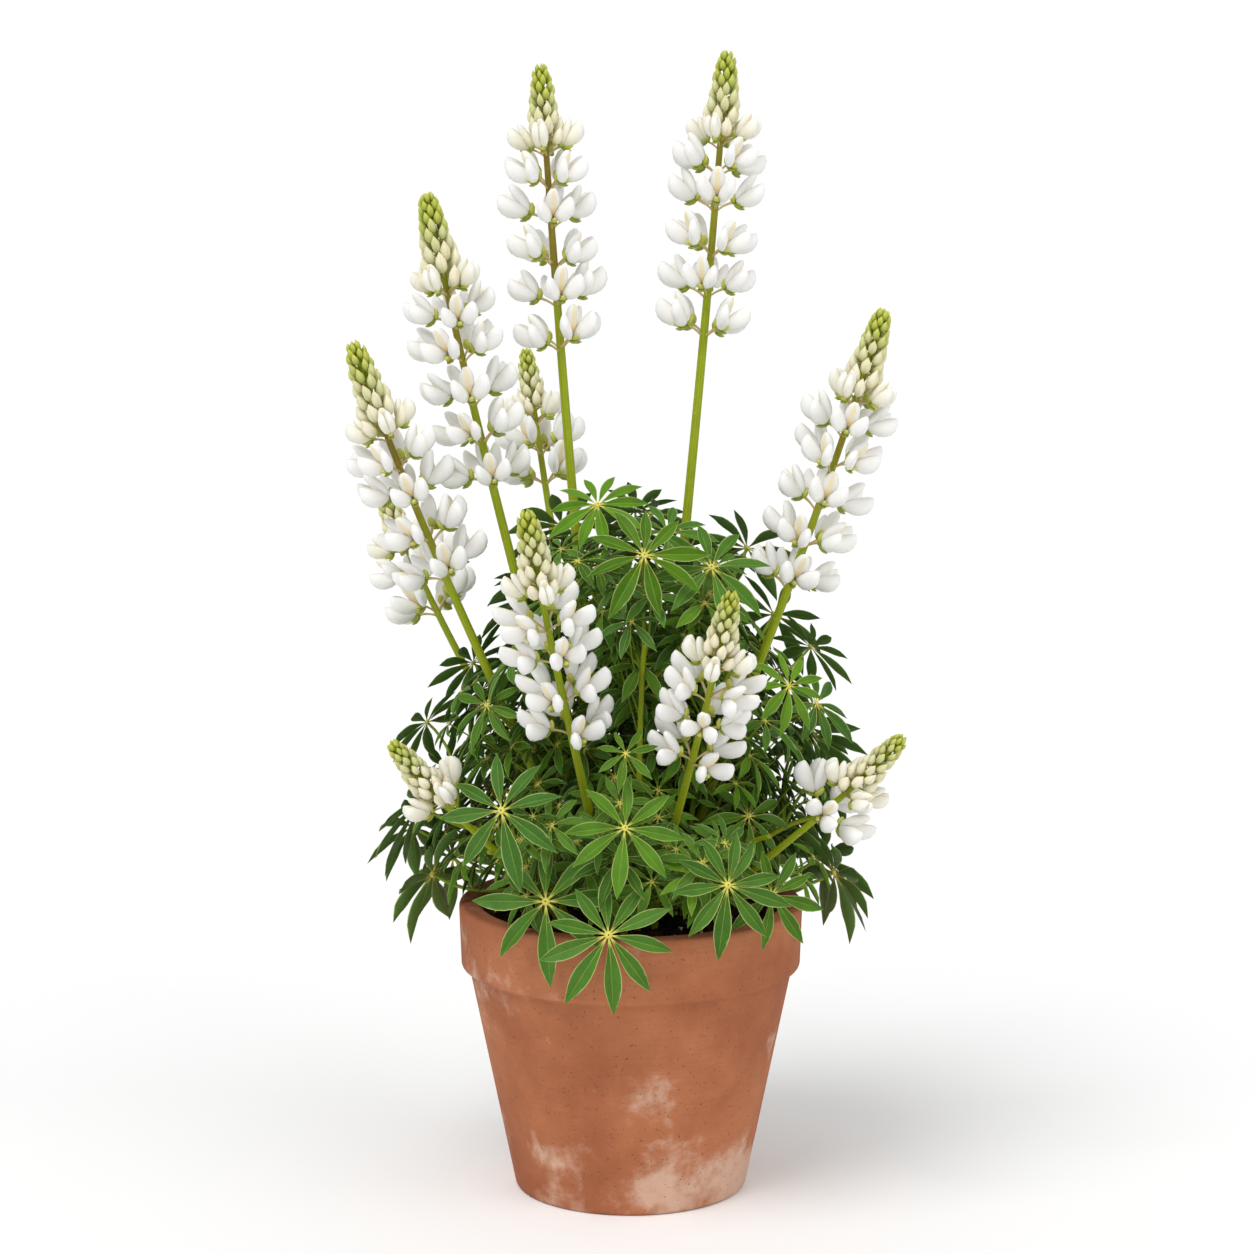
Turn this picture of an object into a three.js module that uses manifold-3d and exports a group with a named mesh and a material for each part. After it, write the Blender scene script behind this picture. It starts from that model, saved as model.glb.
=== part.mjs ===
// Potted lupine: a bushy white lupine with eleven flower spikes, growing in soil in a plain clay pot.
// Millimetres, +Z up, seen from -Y. The origin is the centre of the pot's flat underside.
// The pot and the soil are turned solids. Each flowering stem and each leafy stem is one solid, with its
// leaves, buds and pea flowers fused to it, and stands in a plain hole in the soil.

import * as THREE from "three";
import { mergeVertices } from "three/addons/utils/BufferGeometryUtils.js";
import Module from "manifold-3d";

const wasm = await Module();
wasm.setup();

// Driving dimensions
const pot = {
  height: 156,
  rimRadius: 92, // outside of the rim band
  rimHeight: 34,
  rimStep: 5, // how far the band stands out from the body
  baseRadius: 62,
  wall: 7,
  floor: 9,
  drainRadius: 5,
  drainCount: 4,
  drainCircle: 34,
  sides: 32,
};
const soil = {
  belowRim: 15,
  crown: 7, // how far the middle stands above the edge
  gap: 0.3,
  sides: 24,
};
const soilLevel = pot.height - soil.belowRim;

// Every stem stands upright in its hole, from its foot to its collar, and bends only above that.
const stand = { foot: soilLevel - 12, collar: soilLevel + 10, clearance: 0.5 };

const spike = {
  whorl: 4, // flowers in a whorl
  firstStep: 16, // from the first whorl of open flowers to the second
  stepGrowth: 3,
  lastStep: 22,
  coneRing: 5.6,
  coneBuds: 5, // buds in a ring of the cone
  sides: 5,
  baseRadius: 2.9,
  tipRadius: 1.4,
};
const leaf = {
  count: 72, // places tried: those that find no room stay empty
  span: 82, // tip to tip
  leaflets: 9,
  widthShare: 0.235, // leaflet width over leaflet length
  widest: 0.58, // where along the leaflet it is widest
  hubRadius: 2.6,
  thickness: 0.8,
  fold: 0.9,
  droop: 0.13,
  stalkRadius: 1.1,
  airGap: 1.2,
};
// The leaves' hubs lie near an ellipsoid round the middle of the soil.
const mound = { across: 126, deep: 118, high: 262, attempts: 150 };

// Flowering stems: the tip's place over the middle of the soil, the length of the spike, and how much of
// it is the cone of green buds.
const flowerStems = [
  { tip: [-47, 16, 455], flowers: 160, cone: 40 },
  { tip: [-105, -12, 389], flowers: 168, cone: 46 },
  { tip: [-142, -34, 314], flowers: 150, cone: 46 },
  { tip: [51, 46, 462], flowers: 150, cone: 42 },
  { tip: [130, -22, 330], flowers: 160, cone: 44 },
  { tip: [-52, -104, 236], flowers: 142, cone: 44 },
  { tip: [50, -108, 196], flowers: 112, cone: 40 },
  { tip: [-122, -66, 112], flowers: 60, cone: 40 },
  { tip: [138, -72, 116], flowers: 66, cone: 40 },
  { tip: [-138, 82, 228], flowers: 92, cone: 36 },
  { tip: [-58, 112, 300], flowers: 96, cone: 36 },
];
const leafyStems = { baseRadius: 2.2, tipRadius: 1.2, sides: 4 };
// Leafy stems: how many stand in each ring, how far out they reach and how high.
const leafyRings = [
  { count: 8, start: 46, reach: 98, rise: 56, turn: 0 },
  { count: 6, start: 30, reach: 62, rise: 154, turn: 40 },
];
// A stem's bend above its collar, as two pulls on it: each a share of its reach across and of its rise.
const flowerBend = { low: [0.12, 0.2], high: [0.62, 0.55], steps: 6 };
const leafyBend = { low: [0.06, 0.45], high: [0.5, 0.88], steps: 4 };

const golden = Math.PI * (3 - Math.sqrt(5));
const up = new THREE.Vector3(0, 0, 1);

// A repeatable draw between 0 and 1 for two counts.
function draw(a, b) {
  const x = Math.sin(a * 12.9898 + b * 78.233 + 4.1) * 43758.5453;
  return x - Math.floor(x);
}

function between(low, high, share) {
  return low + (high - low) * share;
}

// A solid from corner points and triangles.
function solidOf(points, faces) {
  const g = new THREE.BufferGeometry();
  g.setAttribute("position", new THREE.Float32BufferAttribute(points.flatMap((p) => [p.x, p.y, p.z]), 3));
  g.setIndex(faces.flat());
  return solidFrom(g);
}

function solidFrom(geometry) {
  geometry.deleteAttribute("normal");
  geometry.deleteAttribute("uv");
  const merged = mergeVertices(geometry, 1e-4);
  const triVerts = new Uint32Array(merged.index.array);
  const vertProperties = merged.attributes.position.array;
  return new wasm.Manifold(new wasm.Mesh({ numProp: 3, vertProperties, triVerts }));
}

// Joins solids and keeps the main body, with no sealed hollow and no loose scrap.
function fuse(solids) {
  const bodies = wasm.Manifold.union(solids).decompose();
  bodies.sort((a, b) => b.volume() - a.volume());
  return bodies[0].asOriginal().simplify(0.03);
}

// A round tube along points, with its own radius at each, closed at both ends.
function tube(path, radiusAt, sides) {
  const points = [];
  const faces = [];
  path.forEach((p, i) => {
    const ahead = path[Math.min(i + 1, path.length - 1)];
    const behind = path[Math.max(i - 1, 0)];
    const frame = frameAlong(ahead.clone().sub(behind).normalize());
    for (let j = 0; j < sides; j++) {
      const radius = radiusAt(i / (path.length - 1));
      points.push(p.clone().addScaledVector(around(frame, (2 * Math.PI * j) / sides), radius));
    }
  });
  for (let i = 0; i < path.length - 1; i++) {
    for (let j = 0; j < sides; j++) {
      const a = i * sides + j;
      const b = i * sides + ((j + 1) % sides);
      faces.push([a, b, b + sides], [a, b + sides, a + sides]);
    }
  }
  for (let j = 1; j < sides - 1; j++) {
    faces.push([0, j + 1, j]);
    const last = (path.length - 1) * sides;
    faces.push([last, last + j, last + j + 1]);
  }
  return solidOf(points, faces);
}

// Two directions square to a stem's own direction.
function frameAlong(direction) {
  const first = new THREE.Vector3(1, 0, 0);
  first.addScaledVector(direction, -first.dot(direction)).normalize();
  return { direction, first, second: direction.clone().cross(first) };
}

function around(frame, angle) {
  return frame.first.clone().multiplyScalar(Math.cos(angle)).addScaledVector(frame.second, Math.sin(angle));
}

function lengthOf(path) {
  return path.reduce((sum, p, i) => (i ? sum + p.distanceTo(path[i - 1]) : 0), 0);
}

// Where a line of points lies at a distance back from its last point, and which way it runs there.
function fromEnd(path, distance) {
  let left = distance;
  for (let i = path.length - 1; i > 0; i--) {
    const step = path[i].distanceTo(path[i - 1]);
    if (left <= step || i === 1) {
      const direction = path[i].clone().sub(path[i - 1]).normalize();
      return { point: path[i].clone().addScaledVector(direction, -left), direction };
    }
    left -= step;
  }
}

// Stems

// A stem rises straight out of its hole at a start beside the middle, then bends to its tip.
function stemPath(startRadius, tip, shape) {
  const out = Math.atan2(tip.y, tip.x);
  const at = (z) => new THREE.Vector3(startRadius * Math.cos(out), startRadius * Math.sin(out), z);
  const collar = at(stand.collar);
  const pull = ([across, rise]) =>
    new THREE.Vector3(
      between(collar.x, tip.x, across),
      between(collar.y, tip.y, across),
      between(collar.z, tip.z, rise),
    );
  const curve = new THREE.CubicBezierCurve3(collar, pull(shape.low), pull(shape.high), tip);
  return [at(stand.foot), ...curve.getPoints(shape.steps)];
}

// A flowering stem starts on the side that it leans to, and the more it leans, the further out.
function flowerPath(stem) {
  const tip = new THREE.Vector3(stem.tip[0], stem.tip[1], stem.tip[2] + soilLevel);
  const lean = Math.hypot(tip.x, tip.y) / stem.tip[2];
  return stemPath(between(12, 44, Math.min(lean / 1.2, 1)), tip, flowerBend);
}

function leafyPath(ring, index) {
  const turn = ring.turn + (360 / ring.count) * index + 14 * (draw(index, ring.count) - 0.5);
  const angle = THREE.MathUtils.degToRad(turn);
  const reach = ring.reach * between(0.92, 1.05, draw(index, 3));
  const rise = ring.rise * between(0.85, 1.2, draw(index, 4));
  const tip = new THREE.Vector3(reach * Math.cos(angle), reach * Math.sin(angle), soilLevel + rise);
  return stemPath(ring.start, tip, leafyBend);
}

// Spikes

// The whorls of a spike: how far each lies below the tip, and how open its flowers are, from 0 to 1.
function whorlsOf(stem) {
  const whorls = [];
  let below = stem.cone + 6;
  for (let k = 0; below < stem.flowers; k++) {
    whorls.push({ below, open: Math.min(0.4 + 0.6 * k, 1), index: k });
    below += Math.min(spike.lastStep, spike.firstStep + spike.stepGrowth * k);
  }
  return whorls;
}

// A point of a flower: out from the stem, across, and up along the stem.
function placedPoint(place, out, side, along) {
  return place.point
    .clone()
    .addScaledVector(place.out, out)
    .addScaledVector(place.side, side)
    .addScaledVector(place.direction, along);
}

// An open pea flower on its stalk: full wings below, a folded banner standing behind them, one closed body.
function openFlower(place, size) {
  const at = (out, side, along) => placedPoint(place, (out + 10) * size, side * size, (along + 5.4) * size);
  const points = [
    placedPoint(place, -0.7 * spike.tipRadius, 0, -1), // the stalk's end inside the stem
    at(0, 0, -1.1),
    at(-1, -1.6, 0.6),
    at(-1, 1.6, 0.6),
    at(6, 0, 7), // notch between wings and banner
    at(6.6, 0, -3.4), // wings: underside, sides and end
    at(9.4, -6.8, 3),
    at(9.4, 6.8, 3),
    at(14.4, 0, 7.4),
    at(0.4, 0, 9), // banner: back, sides and tip
    at(4, -3.4, 8.4),
    at(4, 3.4, 8.4),
    at(9.8, 0, 14),
  ];
  const rightSide = [
    [0, 1, 2],
    [1, 5, 6],
    [1, 6, 2],
    [5, 8, 6],
    [6, 8, 4],
    [2, 6, 4],
    [2, 4, 10],
    [4, 12, 10],
    [10, 12, 9],
    [2, 10, 9],
  ];
  const opposite = { 2: 3, 6: 7, 10: 11 };
  const leftSide = rightSide.map((face) => face.map((i) => opposite[i] ?? i).reverse());
  return solidOf(points, [...rightSide, ...leftSide, [2, 9, 3], [0, 2, 3]]);
}

// How wide the cone of buds is at a distance below the tip: blunt at the top, flared at the foot.
function coneRadius(stem, below) {
  const share = Math.min(below / stem.cone, 1);
  return ((3 + 5 * Math.sqrt(share) + 3.5 * share ** 4) * stem.cone) / 46;
}

// The cone of green buds: rings of points, every second one pushed out and up into a bud, and staggered
// from ring to ring.
function budCone(stem, path) {
  const rings = Math.round(stem.cone / spike.coneRing);
  const count = spike.coneBuds * 2;
  const points = [fromEnd(path, 0).point.addScaledVector(fromEnd(path, 0).direction, 3)];
  for (let k = 0; k < rings; k++) {
    const below = stem.cone * ((k + 0.6) / rings) ** 1.15;
    const place = fromEnd(path, below);
    const frame = frameAlong(place.direction);
    for (let j = 0; j < count; j++) {
      const bud = (j + k) % 2 === 0;
      const radius = coneRadius(stem, below) * (bud ? 1.16 : 0.74);
      const lift = bud ? spike.coneRing * 0.75 : -spike.coneRing * 0.2;
      points.push(
        place.point
          .clone()
          .addScaledVector(around(frame, (2 * Math.PI * j) / count), radius)
          .addScaledVector(place.direction, lift),
      );
    }
  }
  points.push(fromEnd(path, stem.cone + 2).point);
  const faces = [];
  for (let j = 0; j < count; j++) {
    const next = (j + 1) % count;
    faces.push([0, 1 + j, 1 + next]);
    const last = 1 + (rings - 1) * count;
    faces.push([last + j, points.length - 1, last + next]);
    for (let k = 0; k < rings - 1; k++) {
      const a = 1 + k * count;
      const b = a + count;
      const even = (j + k) % 2 === 0;
      if (even) faces.push([a + j, b + j, b + next], [a + j, b + next, a + next]);
      else faces.push([a + j, b + j, a + next], [a + next, b + j, b + next]);
    }
  }
  return solidOf(points, faces);
}

// Every flower of a spike with its place on the stem: whorl by whorl, each turned half a step on the last.
function flowersOf(stem, number, path) {
  const step = (2 * Math.PI) / spike.whorl;
  return whorlsOf(stem).flatMap((whorl) =>
    Array.from({ length: spike.whorl }, (_, j) => {
      const seed = number * 40 + whorl.index * 4 + j;
      const angle = (j + (whorl.index % 2) / 2) * step + number + 0.5 * (draw(seed, 1) - 0.5);
      const place = fromEnd(path, whorl.below + 4 * (draw(seed, 2) - 0.5));
      place.out = around(frameAlong(place.direction), angle);
      place.side = place.direction.clone().cross(place.out);
      const size = between(0.7, 1, whorl.open) * between(0.94, 1.06, draw(seed, 3));
      return { place, size };
    }),
  );
}

// Leaves

// Small round beads that stand for the pieces while the leaves' places are being found.
const placed = [];

function isClear(beads, carrier) {
  return beads.every((b) => {
    const outside = Math.hypot(b.point.x, b.point.y) > pot.rimRadius + b.radius + 1;
    if (!outside && b.point.z < pot.height + b.radius + 1) return false;
    return placed.every((p) => {
      if (b.stalk && p.carrier === carrier) return true;
      return b.point.distanceTo(p.point) >= b.radius + p.radius + leaf.airGap;
    });
  });
}

// The room that a flowering stem takes up at a distance below its tip.
function spikeRoom(stem, below) {
  if (below > stem.flowers + 6) return 2.4;
  if (below < stem.cone) return coneRadius(stem, below) * 1.2;
  return between(16, 24, Math.min((below - stem.cone) / 20, 1));
}

// A leaf is set on the mound by its number, and each further attempt moves it a little.
function leafPlace(number, attempt) {
  const moved = Math.min(attempt / 12, 1);
  const turn = number * golden + moved * 0.9 * (draw(number, attempt + 10) - 0.5);
  const sunk = moved * 0.3 * (draw(number, attempt + 210) - 0.5);
  const height = THREE.MathUtils.clamp(between(0.06, 0.9, (number + 0.5) / leaf.count) + sunk, 0, 0.97);
  const shell = between(0.5, 0.98, draw(number, attempt + 410));
  const flat = Math.sqrt(1 - height * height);
  const outward = new THREE.Vector3(flat * Math.cos(turn), flat * Math.sin(turn), height);
  const hub = new THREE.Vector3(outward.x * mound.across, outward.y * mound.deep, outward.z * mound.high);
  hub.multiplyScalar(shell);
  hub.z += soilLevel;
  // Leaves face outwards and up, and turn a little more to the front or the back than to the sides.
  const forward = outward.y * 1.5 + 0.5 * Math.sign(outward.y);
  const facing = new THREE.Vector3(outward.x, forward, 0.42 + 0.6 * height).normalize();
  const shrunk = between(1, 0.65, attempt / mound.attempts);
  const size = (leaf.span / 2) * between(0.8, 1.12, draw(number, 5)) * shrunk;
  const leaflets = leaf.leaflets - 1 + Math.floor(3 * draw(number, 6));
  return { hub, facing, size, leaflets, turn: draw(number, 7) };
}

// The leaflets' directions in the leaf's own plane, their lengths, and points at a share of each length.
function leafletsOf(place) {
  const upward = up.clone().addScaledVector(place.facing, -up.dot(place.facing)).normalize();
  const frame = { first: upward, second: place.facing.clone().cross(upward) };
  return Array.from({ length: place.leaflets }, (_, j) => {
    const angle = ((j + place.turn) * 2 * Math.PI) / place.leaflets;
    const length = place.size * (0.92 - 0.12 * Math.cos(angle));
    const along = around(frame, angle);
    const point = (share) =>
      place.hub
        .clone()
        .addScaledVector(along, length * share)
        .addScaledVector(place.facing, -leaf.droop * length * share * share);
    return { length, along, across: place.facing.clone().cross(along), point };
  });
}

// The stem that carries a leaf, the point where its stalk leaves it, and the stalk's bend.
function stalkOf(place, carriers) {
  const wanted = place.hub.clone().addScaledVector(place.facing, -34).addScaledVector(up, -14);
  let best = null;
  carriers.forEach((carrier) => {
    carrier.roots.forEach((root) => {
      const distance = root.distanceTo(wanted);
      if (!best || distance < best.distance) best = { distance, root, carrier };
    });
  });
  const middle = place.hub.clone().addScaledVector(place.facing, -0.55 * best.root.distanceTo(place.hub));
  return { carrier: best.carrier, curve: new THREE.QuadraticBezierCurve3(best.root, middle, place.hub) };
}

function leafBeads(place, stalk) {
  const beads = [{ point: place.hub, radius: 3 }];
  leafletsOf(place).forEach((leaflet) => {
    beads.push({ point: leaflet.point(0.95), radius: 1.6 });
    [0.3, 0.52, 0.74].forEach((share) => beads.push({ point: leaflet.point(share), radius: 2.9 }));
  });
  stalk.curve
    .getPoints(8)
    .slice(2, 8)
    .forEach((point) => beads.push({ point, radius: 1.6, stalk: true }));
  return beads;
}

// Places every leaf, moving it until it is clear of all that is there. One that finds no room is left out.
function placeLeaves(carriers) {
  carriers.forEach((carrier) => {
    for (let below = 0; below < lengthOf(carrier.path); below += 6) {
      const radius = carrier.stem ? spikeRoom(carrier.stem, below) : leafyStems.baseRadius;
      placed.push({ point: fromEnd(carrier.path, below).point, radius, carrier });
    }
  });
  const leaves = [];
  for (let number = 0; number < leaf.count; number++) {
    for (let attempt = 0; attempt < mound.attempts; attempt++) {
      const place = leafPlace(number, attempt);
      const stalk = stalkOf(place, carriers);
      const beads = leafBeads(place, stalk);
      if (!isClear(beads, stalk.carrier)) continue;
      beads.forEach((b) => placed.push({ ...b, carrier: stalk.carrier }));
      leaves.push({ place, stalk });
      break;
    }
  }
  return leaves;
}

// A palmate leaf on its stalk, one closed body: a star of folded leaflets round one hub, each a ridged
// blade with a point, and under the hub a three-sided stalk that ends in a point inside the stem.
function palmateLeaf(place, stalk) {
  const n = place.leaflets;
  const leaflets = leafletsOf(place);
  const stalkPath = stalk.curve.getPoints(3);
  const points = [place.hub.clone().addScaledVector(place.facing, leaf.thickness)];
  const faces = [];
  const rings = [3, 2, 1].map((step) => {
    const centre = stalkPath[step].clone();
    if (step === 3) centre.addScaledVector(place.facing, -leaf.thickness);
    return [0, 1, 2].map((k) => {
      const along = leaflets[Math.floor(((k + 0.5) * n) / 3)].along;
      return points.push(centre.clone().addScaledVector(along, leaf.stalkRadius)) - 1;
    });
  });
  const root = points.push(stalkPath[0]) - 1;
  const star = points.length;
  leaflets.forEach((leaflet, j) => {
    const gap = Math.PI / n;
    const notch = place.hub
      .clone()
      .addScaledVector(leaflet.along, leaf.hubRadius * Math.cos(gap))
      .addScaledVector(leaflet.across, -leaf.hubRadius * Math.sin(gap));
    const half = (leaflet.length * leaf.widthShare) / 2;
    const raised = (side, height) =>
      leaflet.point(leaf.widest).addScaledVector(leaflet.across, side).addScaledVector(place.facing, height);
    const valley = raised(0, leaf.thickness / 2);
    points.push(notch, raised(-half, leaf.fold), raised(half, leaf.fold), valley, leaflet.point(1));
    const [base, right, left, top, tip] = [0, 1, 2, 3, 4].map((k) => star + j * 5 + k);
    const next = star + ((j + 1) % n) * 5;
    const mine = rings[0][Math.floor((3 * j) / n)];
    const nexts = rings[0][Math.floor((3 * ((j + 1) % n)) / n)];
    faces.push([0, base, right], [0, right, top], [0, top, left], [0, left, next]);
    faces.push([top, right, tip], [top, tip, left]);
    faces.push([mine, right, base], [mine, tip, right], [mine, left, tip], [mine, next, left]);
    if (mine !== nexts) faces.push([nexts, next, mine]);
  });
  [0, 1, 2].forEach((k) => {
    const m = (k + 1) % 3;
    [0, 1].forEach((step) => {
      const [above, below] = [rings[step], rings[step + 1]];
      faces.push([above[m], above[k], below[k]], [above[m], below[k], below[m]]);
    });
    faces.push([rings[2][m], rings[2][k], root]);
  });
  return solidOf(points, faces);
}

// Pot and soil

function turned(profile, sides) {
  const g = new THREE.LatheGeometry(profile.map(([r, z]) => new THREE.Vector2(r, z)), sides);
  g.rotateX(Math.PI / 2);
  return solidFrom(g);
}

// The pot's inner wall at a height: a straight slope from the floor to just under the lip.
function innerRadius(z) {
  const bandFoot = pot.height - pot.rimHeight;
  const lower = between(pot.baseRadius, pot.rimRadius - pot.rimStep, pot.floor / bandFoot) - pot.wall;
  const upper = pot.rimRadius - pot.rimStep - pot.wall;
  return between(lower, upper, (z - pot.floor) / (pot.height - 3 - pot.floor));
}

function potSolid() {
  const bandFoot = pot.height - pot.rimHeight;
  const bodyTop = pot.rimRadius - pot.rimStep;
  let body = turned(
    [
      [0, 0],
      [pot.baseRadius, 0],
      [bodyTop - 0.4, bandFoot - 2],
      [pot.rimRadius - 1.2, bandFoot],
      [pot.rimRadius, pot.height - 2],
      [pot.rimRadius - 2, pot.height],
      [bodyTop - pot.wall + 2, pot.height],
      [bodyTop - pot.wall, pot.height - 3],
      [innerRadius(pot.floor), pot.floor],
      [0, pot.floor],
    ],
    pot.sides,
  );
  for (let i = 0; i < pot.drainCount; i++) {
    const hole = new THREE.CylinderGeometry(pot.drainRadius, pot.drainRadius, 3 * pot.floor, 10);
    hole.rotateX(Math.PI / 2);
    const angle = (2 * Math.PI * (i + 0.5)) / pot.drainCount;
    hole.translate(pot.drainCircle * Math.cos(angle), pot.drainCircle * Math.sin(angle), pot.floor / 2);
    body = body.subtract(solidFrom(hole));
  }
  return body;
}

// The soil fills the pot with a small gap all round, is a little higher in the middle, and has one plain
// upright hole for each stem.
function soilSolid(carriers) {
  const radiusAt = (z) => innerRadius(z) * Math.cos(Math.PI / pot.sides) - soil.gap - 0.1;
  const foot = pot.floor + soil.gap;
  const edge = radiusAt(soilLevel);
  const profile = [
    [0, foot],
    [radiusAt(foot), foot],
    [edge, soilLevel],
    [edge * 0.72, soilLevel + soil.crown * 0.35],
    [edge * 0.4, soilLevel + soil.crown * 0.8],
    [0, soilLevel + soil.crown],
  ];
  const holes = carriers.map(({ path, radiusAt }) => {
    const bottom = path[0].clone().setZ(stand.foot - soil.gap);
    return tube([bottom, path[1]], () => radiusAt(0) + stand.clearance, 6);
  });
  return turned(profile, soil.sides).subtract(wasm.Manifold.union(holes));
}

// Assembly

// Each stem has its path, its radius from foot to tip, and the points where a leaf's stalk may leave it.
function stemOf(path, sizes, stem, number) {
  const roots = [];
  for (let below = stem ? stem.flowers + 14 : 3; below < lengthOf(path); below += 14) {
    const { point } = fromEnd(path, below);
    if (point.z > pot.height + 6) roots.push(point);
  }
  return { path, roots, stem, number, sides: sizes.sides, radiusAt: radiusBetween(sizes) };
}

function radiusBetween({ baseRadius, tipRadius }) {
  return (share) => between(baseRadius, tipRadius, share);
}

const flowering = flowerStems.map((stem, i) => stemOf(flowerPath(stem), spike, stem, i));
const leafy = leafyRings.flatMap((ring) =>
  Array.from({ length: ring.count }, (_, i) => stemOf(leafyPath(ring, i), leafyStems)),
);
const leaves = placeLeaves([...flowering, ...leafy]);
const leavesOn = (carrier) => leaves.filter(({ stalk }) => stalk.carrier === carrier);
const leafyKept = leafy.filter((carrier) => leavesOn(carrier).length > 0);

const colours = {
  clay: new THREE.MeshStandardMaterial({ color: 0xb5663f, roughness: 0.85, metalness: 0 }),
  soil: new THREE.MeshStandardMaterial({ color: 0x2c2019, roughness: 1, metalness: 0 }),
  flowers: new THREE.MeshStandardMaterial({ color: 0xeeebe2, roughness: 0.5, metalness: 0 }),
  foliage: new THREE.MeshStandardMaterial({ color: 0x3b7a2c, roughness: 0.55, metalness: 0 }),
};

function meshOf(name, solid, material) {
  const made = solid.getMesh();
  const g = new THREE.BufferGeometry();
  g.setAttribute("position", new THREE.Float32BufferAttribute(made.vertProperties, 3));
  g.setIndex(new THREE.Uint32BufferAttribute(made.triVerts, 1));
  const flat = g.toNonIndexed();
  flat.computeVertexNormals();
  const mesh = new THREE.Mesh(flat, material);
  mesh.name = name;
  return mesh;
}

function grown(carrier) {
  const pieces = [tube(carrier.path, carrier.radiusAt, carrier.sides)];
  if (carrier.stem) {
    pieces.push(budCone(carrier.stem, carrier.path));
    const flowers = flowersOf(carrier.stem, carrier.number, carrier.path);
    flowers.forEach(({ place, size }) => pieces.push(openFlower(place, size)));
  }
  leavesOn(carrier).forEach(({ place, stalk }) => pieces.push(palmateLeaf(place, stalk)));
  return fuse(pieces);
}

const numbered = (kind, i) => `${kind}_${String(i + 1).padStart(2, "0")}`;
const plant = new THREE.Group();
plant.add(meshOf("clay_pot", potSolid(), colours.clay));
plant.add(meshOf("soil", soilSolid([...flowering, ...leafyKept]), colours.soil));
flowering.forEach((carrier, i) => {
  plant.add(meshOf(numbered("flower_stem", i), grown(carrier), colours.flowers));
});
leafyKept.forEach((carrier, i) => {
  plant.add(meshOf(numbered("leafy_stem", i), grown(carrier), colours.foliage));
});

export default plant;
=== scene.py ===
import math
import bpy
import numpy as np
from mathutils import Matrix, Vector


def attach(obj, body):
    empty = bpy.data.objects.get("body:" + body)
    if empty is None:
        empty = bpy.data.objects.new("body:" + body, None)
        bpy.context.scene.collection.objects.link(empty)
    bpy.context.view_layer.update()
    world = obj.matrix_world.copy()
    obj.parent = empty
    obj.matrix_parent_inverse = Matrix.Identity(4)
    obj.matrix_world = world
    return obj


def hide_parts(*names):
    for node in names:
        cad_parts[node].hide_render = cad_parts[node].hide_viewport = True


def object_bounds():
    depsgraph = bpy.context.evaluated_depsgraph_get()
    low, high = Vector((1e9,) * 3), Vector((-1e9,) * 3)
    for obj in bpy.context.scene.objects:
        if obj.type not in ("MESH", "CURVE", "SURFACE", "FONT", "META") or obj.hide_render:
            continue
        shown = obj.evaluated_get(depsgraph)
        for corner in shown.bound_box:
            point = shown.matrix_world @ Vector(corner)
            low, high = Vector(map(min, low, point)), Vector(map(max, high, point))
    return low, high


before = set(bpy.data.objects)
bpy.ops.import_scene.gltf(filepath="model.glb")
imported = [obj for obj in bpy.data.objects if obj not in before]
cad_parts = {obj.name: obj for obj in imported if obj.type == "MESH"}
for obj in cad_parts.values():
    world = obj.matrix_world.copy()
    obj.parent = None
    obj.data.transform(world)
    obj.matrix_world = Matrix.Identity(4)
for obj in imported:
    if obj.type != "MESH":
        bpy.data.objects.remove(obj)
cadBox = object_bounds()
metresPerMm = 0.001
bladeEdge = math.radians(100)  # only a blade's margin turns further
goldenTurn = math.pi * (3 - math.sqrt(5))


# Small helpers


def draw(a, b):  # a repeatable draw between 0 and 1 for two counts: the fraction of a large sine
    x = math.sin(a * 12.9898 + b * 78.233 + 4.1) * 43758.5453
    return x - math.floor(x)


def draws(count, b):  # the same draw for every count below a number
    x = np.sin(np.arange(count) * 12.9898 + b * 78.233 + 4.1) * 43758.5453
    return x - np.floor(x)


def mix(low, high, share):
    return low + (high - low) * share


def unit(v):  # a vector, or each one of an array, over its length
    return v / np.linalg.norm(v, axis=-1, keepdims=True)


def vec(*values):
    return np.array(values, float)


def spread(size, drawn):  # a drawn value, as much as half of a size to either side
    return size * (drawn - 0.5)


# The plant's layout: the same rules and sizes as the solids have

pot = {
    "height": 156,
    "rimRadius": 92,
    "rimHeight": 34,
    "rimStep": 5,
    "baseRadius": 62,
    "wall": 7,
    "floor": 9,
    "drainRadius": 5,
    "drainCount": 4,
    "drainCircle": 34,
}
soil = {"level": 141, "crown": 7, "gap": 0.4}
stand = {"foot": soil["level"] - 12, "collar": soil["level"] + 10}  # a stem is upright between them
spike = {
    "start": (12, 44),  # how far from the pot's axis an upright stem starts, and one that leans all it can
    "fullLean": 1.2,
    "whorl": 4,
    "underCone": 6,  # from the last bud to the first whorl
    "firstStep": 16,
    "stepGrowth": 3,
    "lastStep": 22,
    "baseRadius": 2.9,
    "tipRadius": 1.4,
    "widening": {"at": (45, 160), "radius": (1.6, 2.3)},  # distances under the tip
    "brown": (0.65, 1),  # how brown a stem gets among its flowers
    "greenBefore": -50,  # a stem whose tip is nearer than this along y stays green
    "fullCone": 46,
}
leaf = {
    "count": 72,  # places that are tried
    "span": 82,
    "spanShares": (0.8, 1.12),
    "lastShare": 0.65,  # how small a leaf is that finds room at the last attempt
    "leaflets": 9,
    "droop": 0.13,
    "airGap": 1.2,
    "stalk": {"back": 34, "down": 14, "bend": 0.55},  # where its root is looked for, and how it bends
}
leafRoots = {"step": 14, "underFlowers": 14, "underTip": 3, "overRim": 6}
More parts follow.
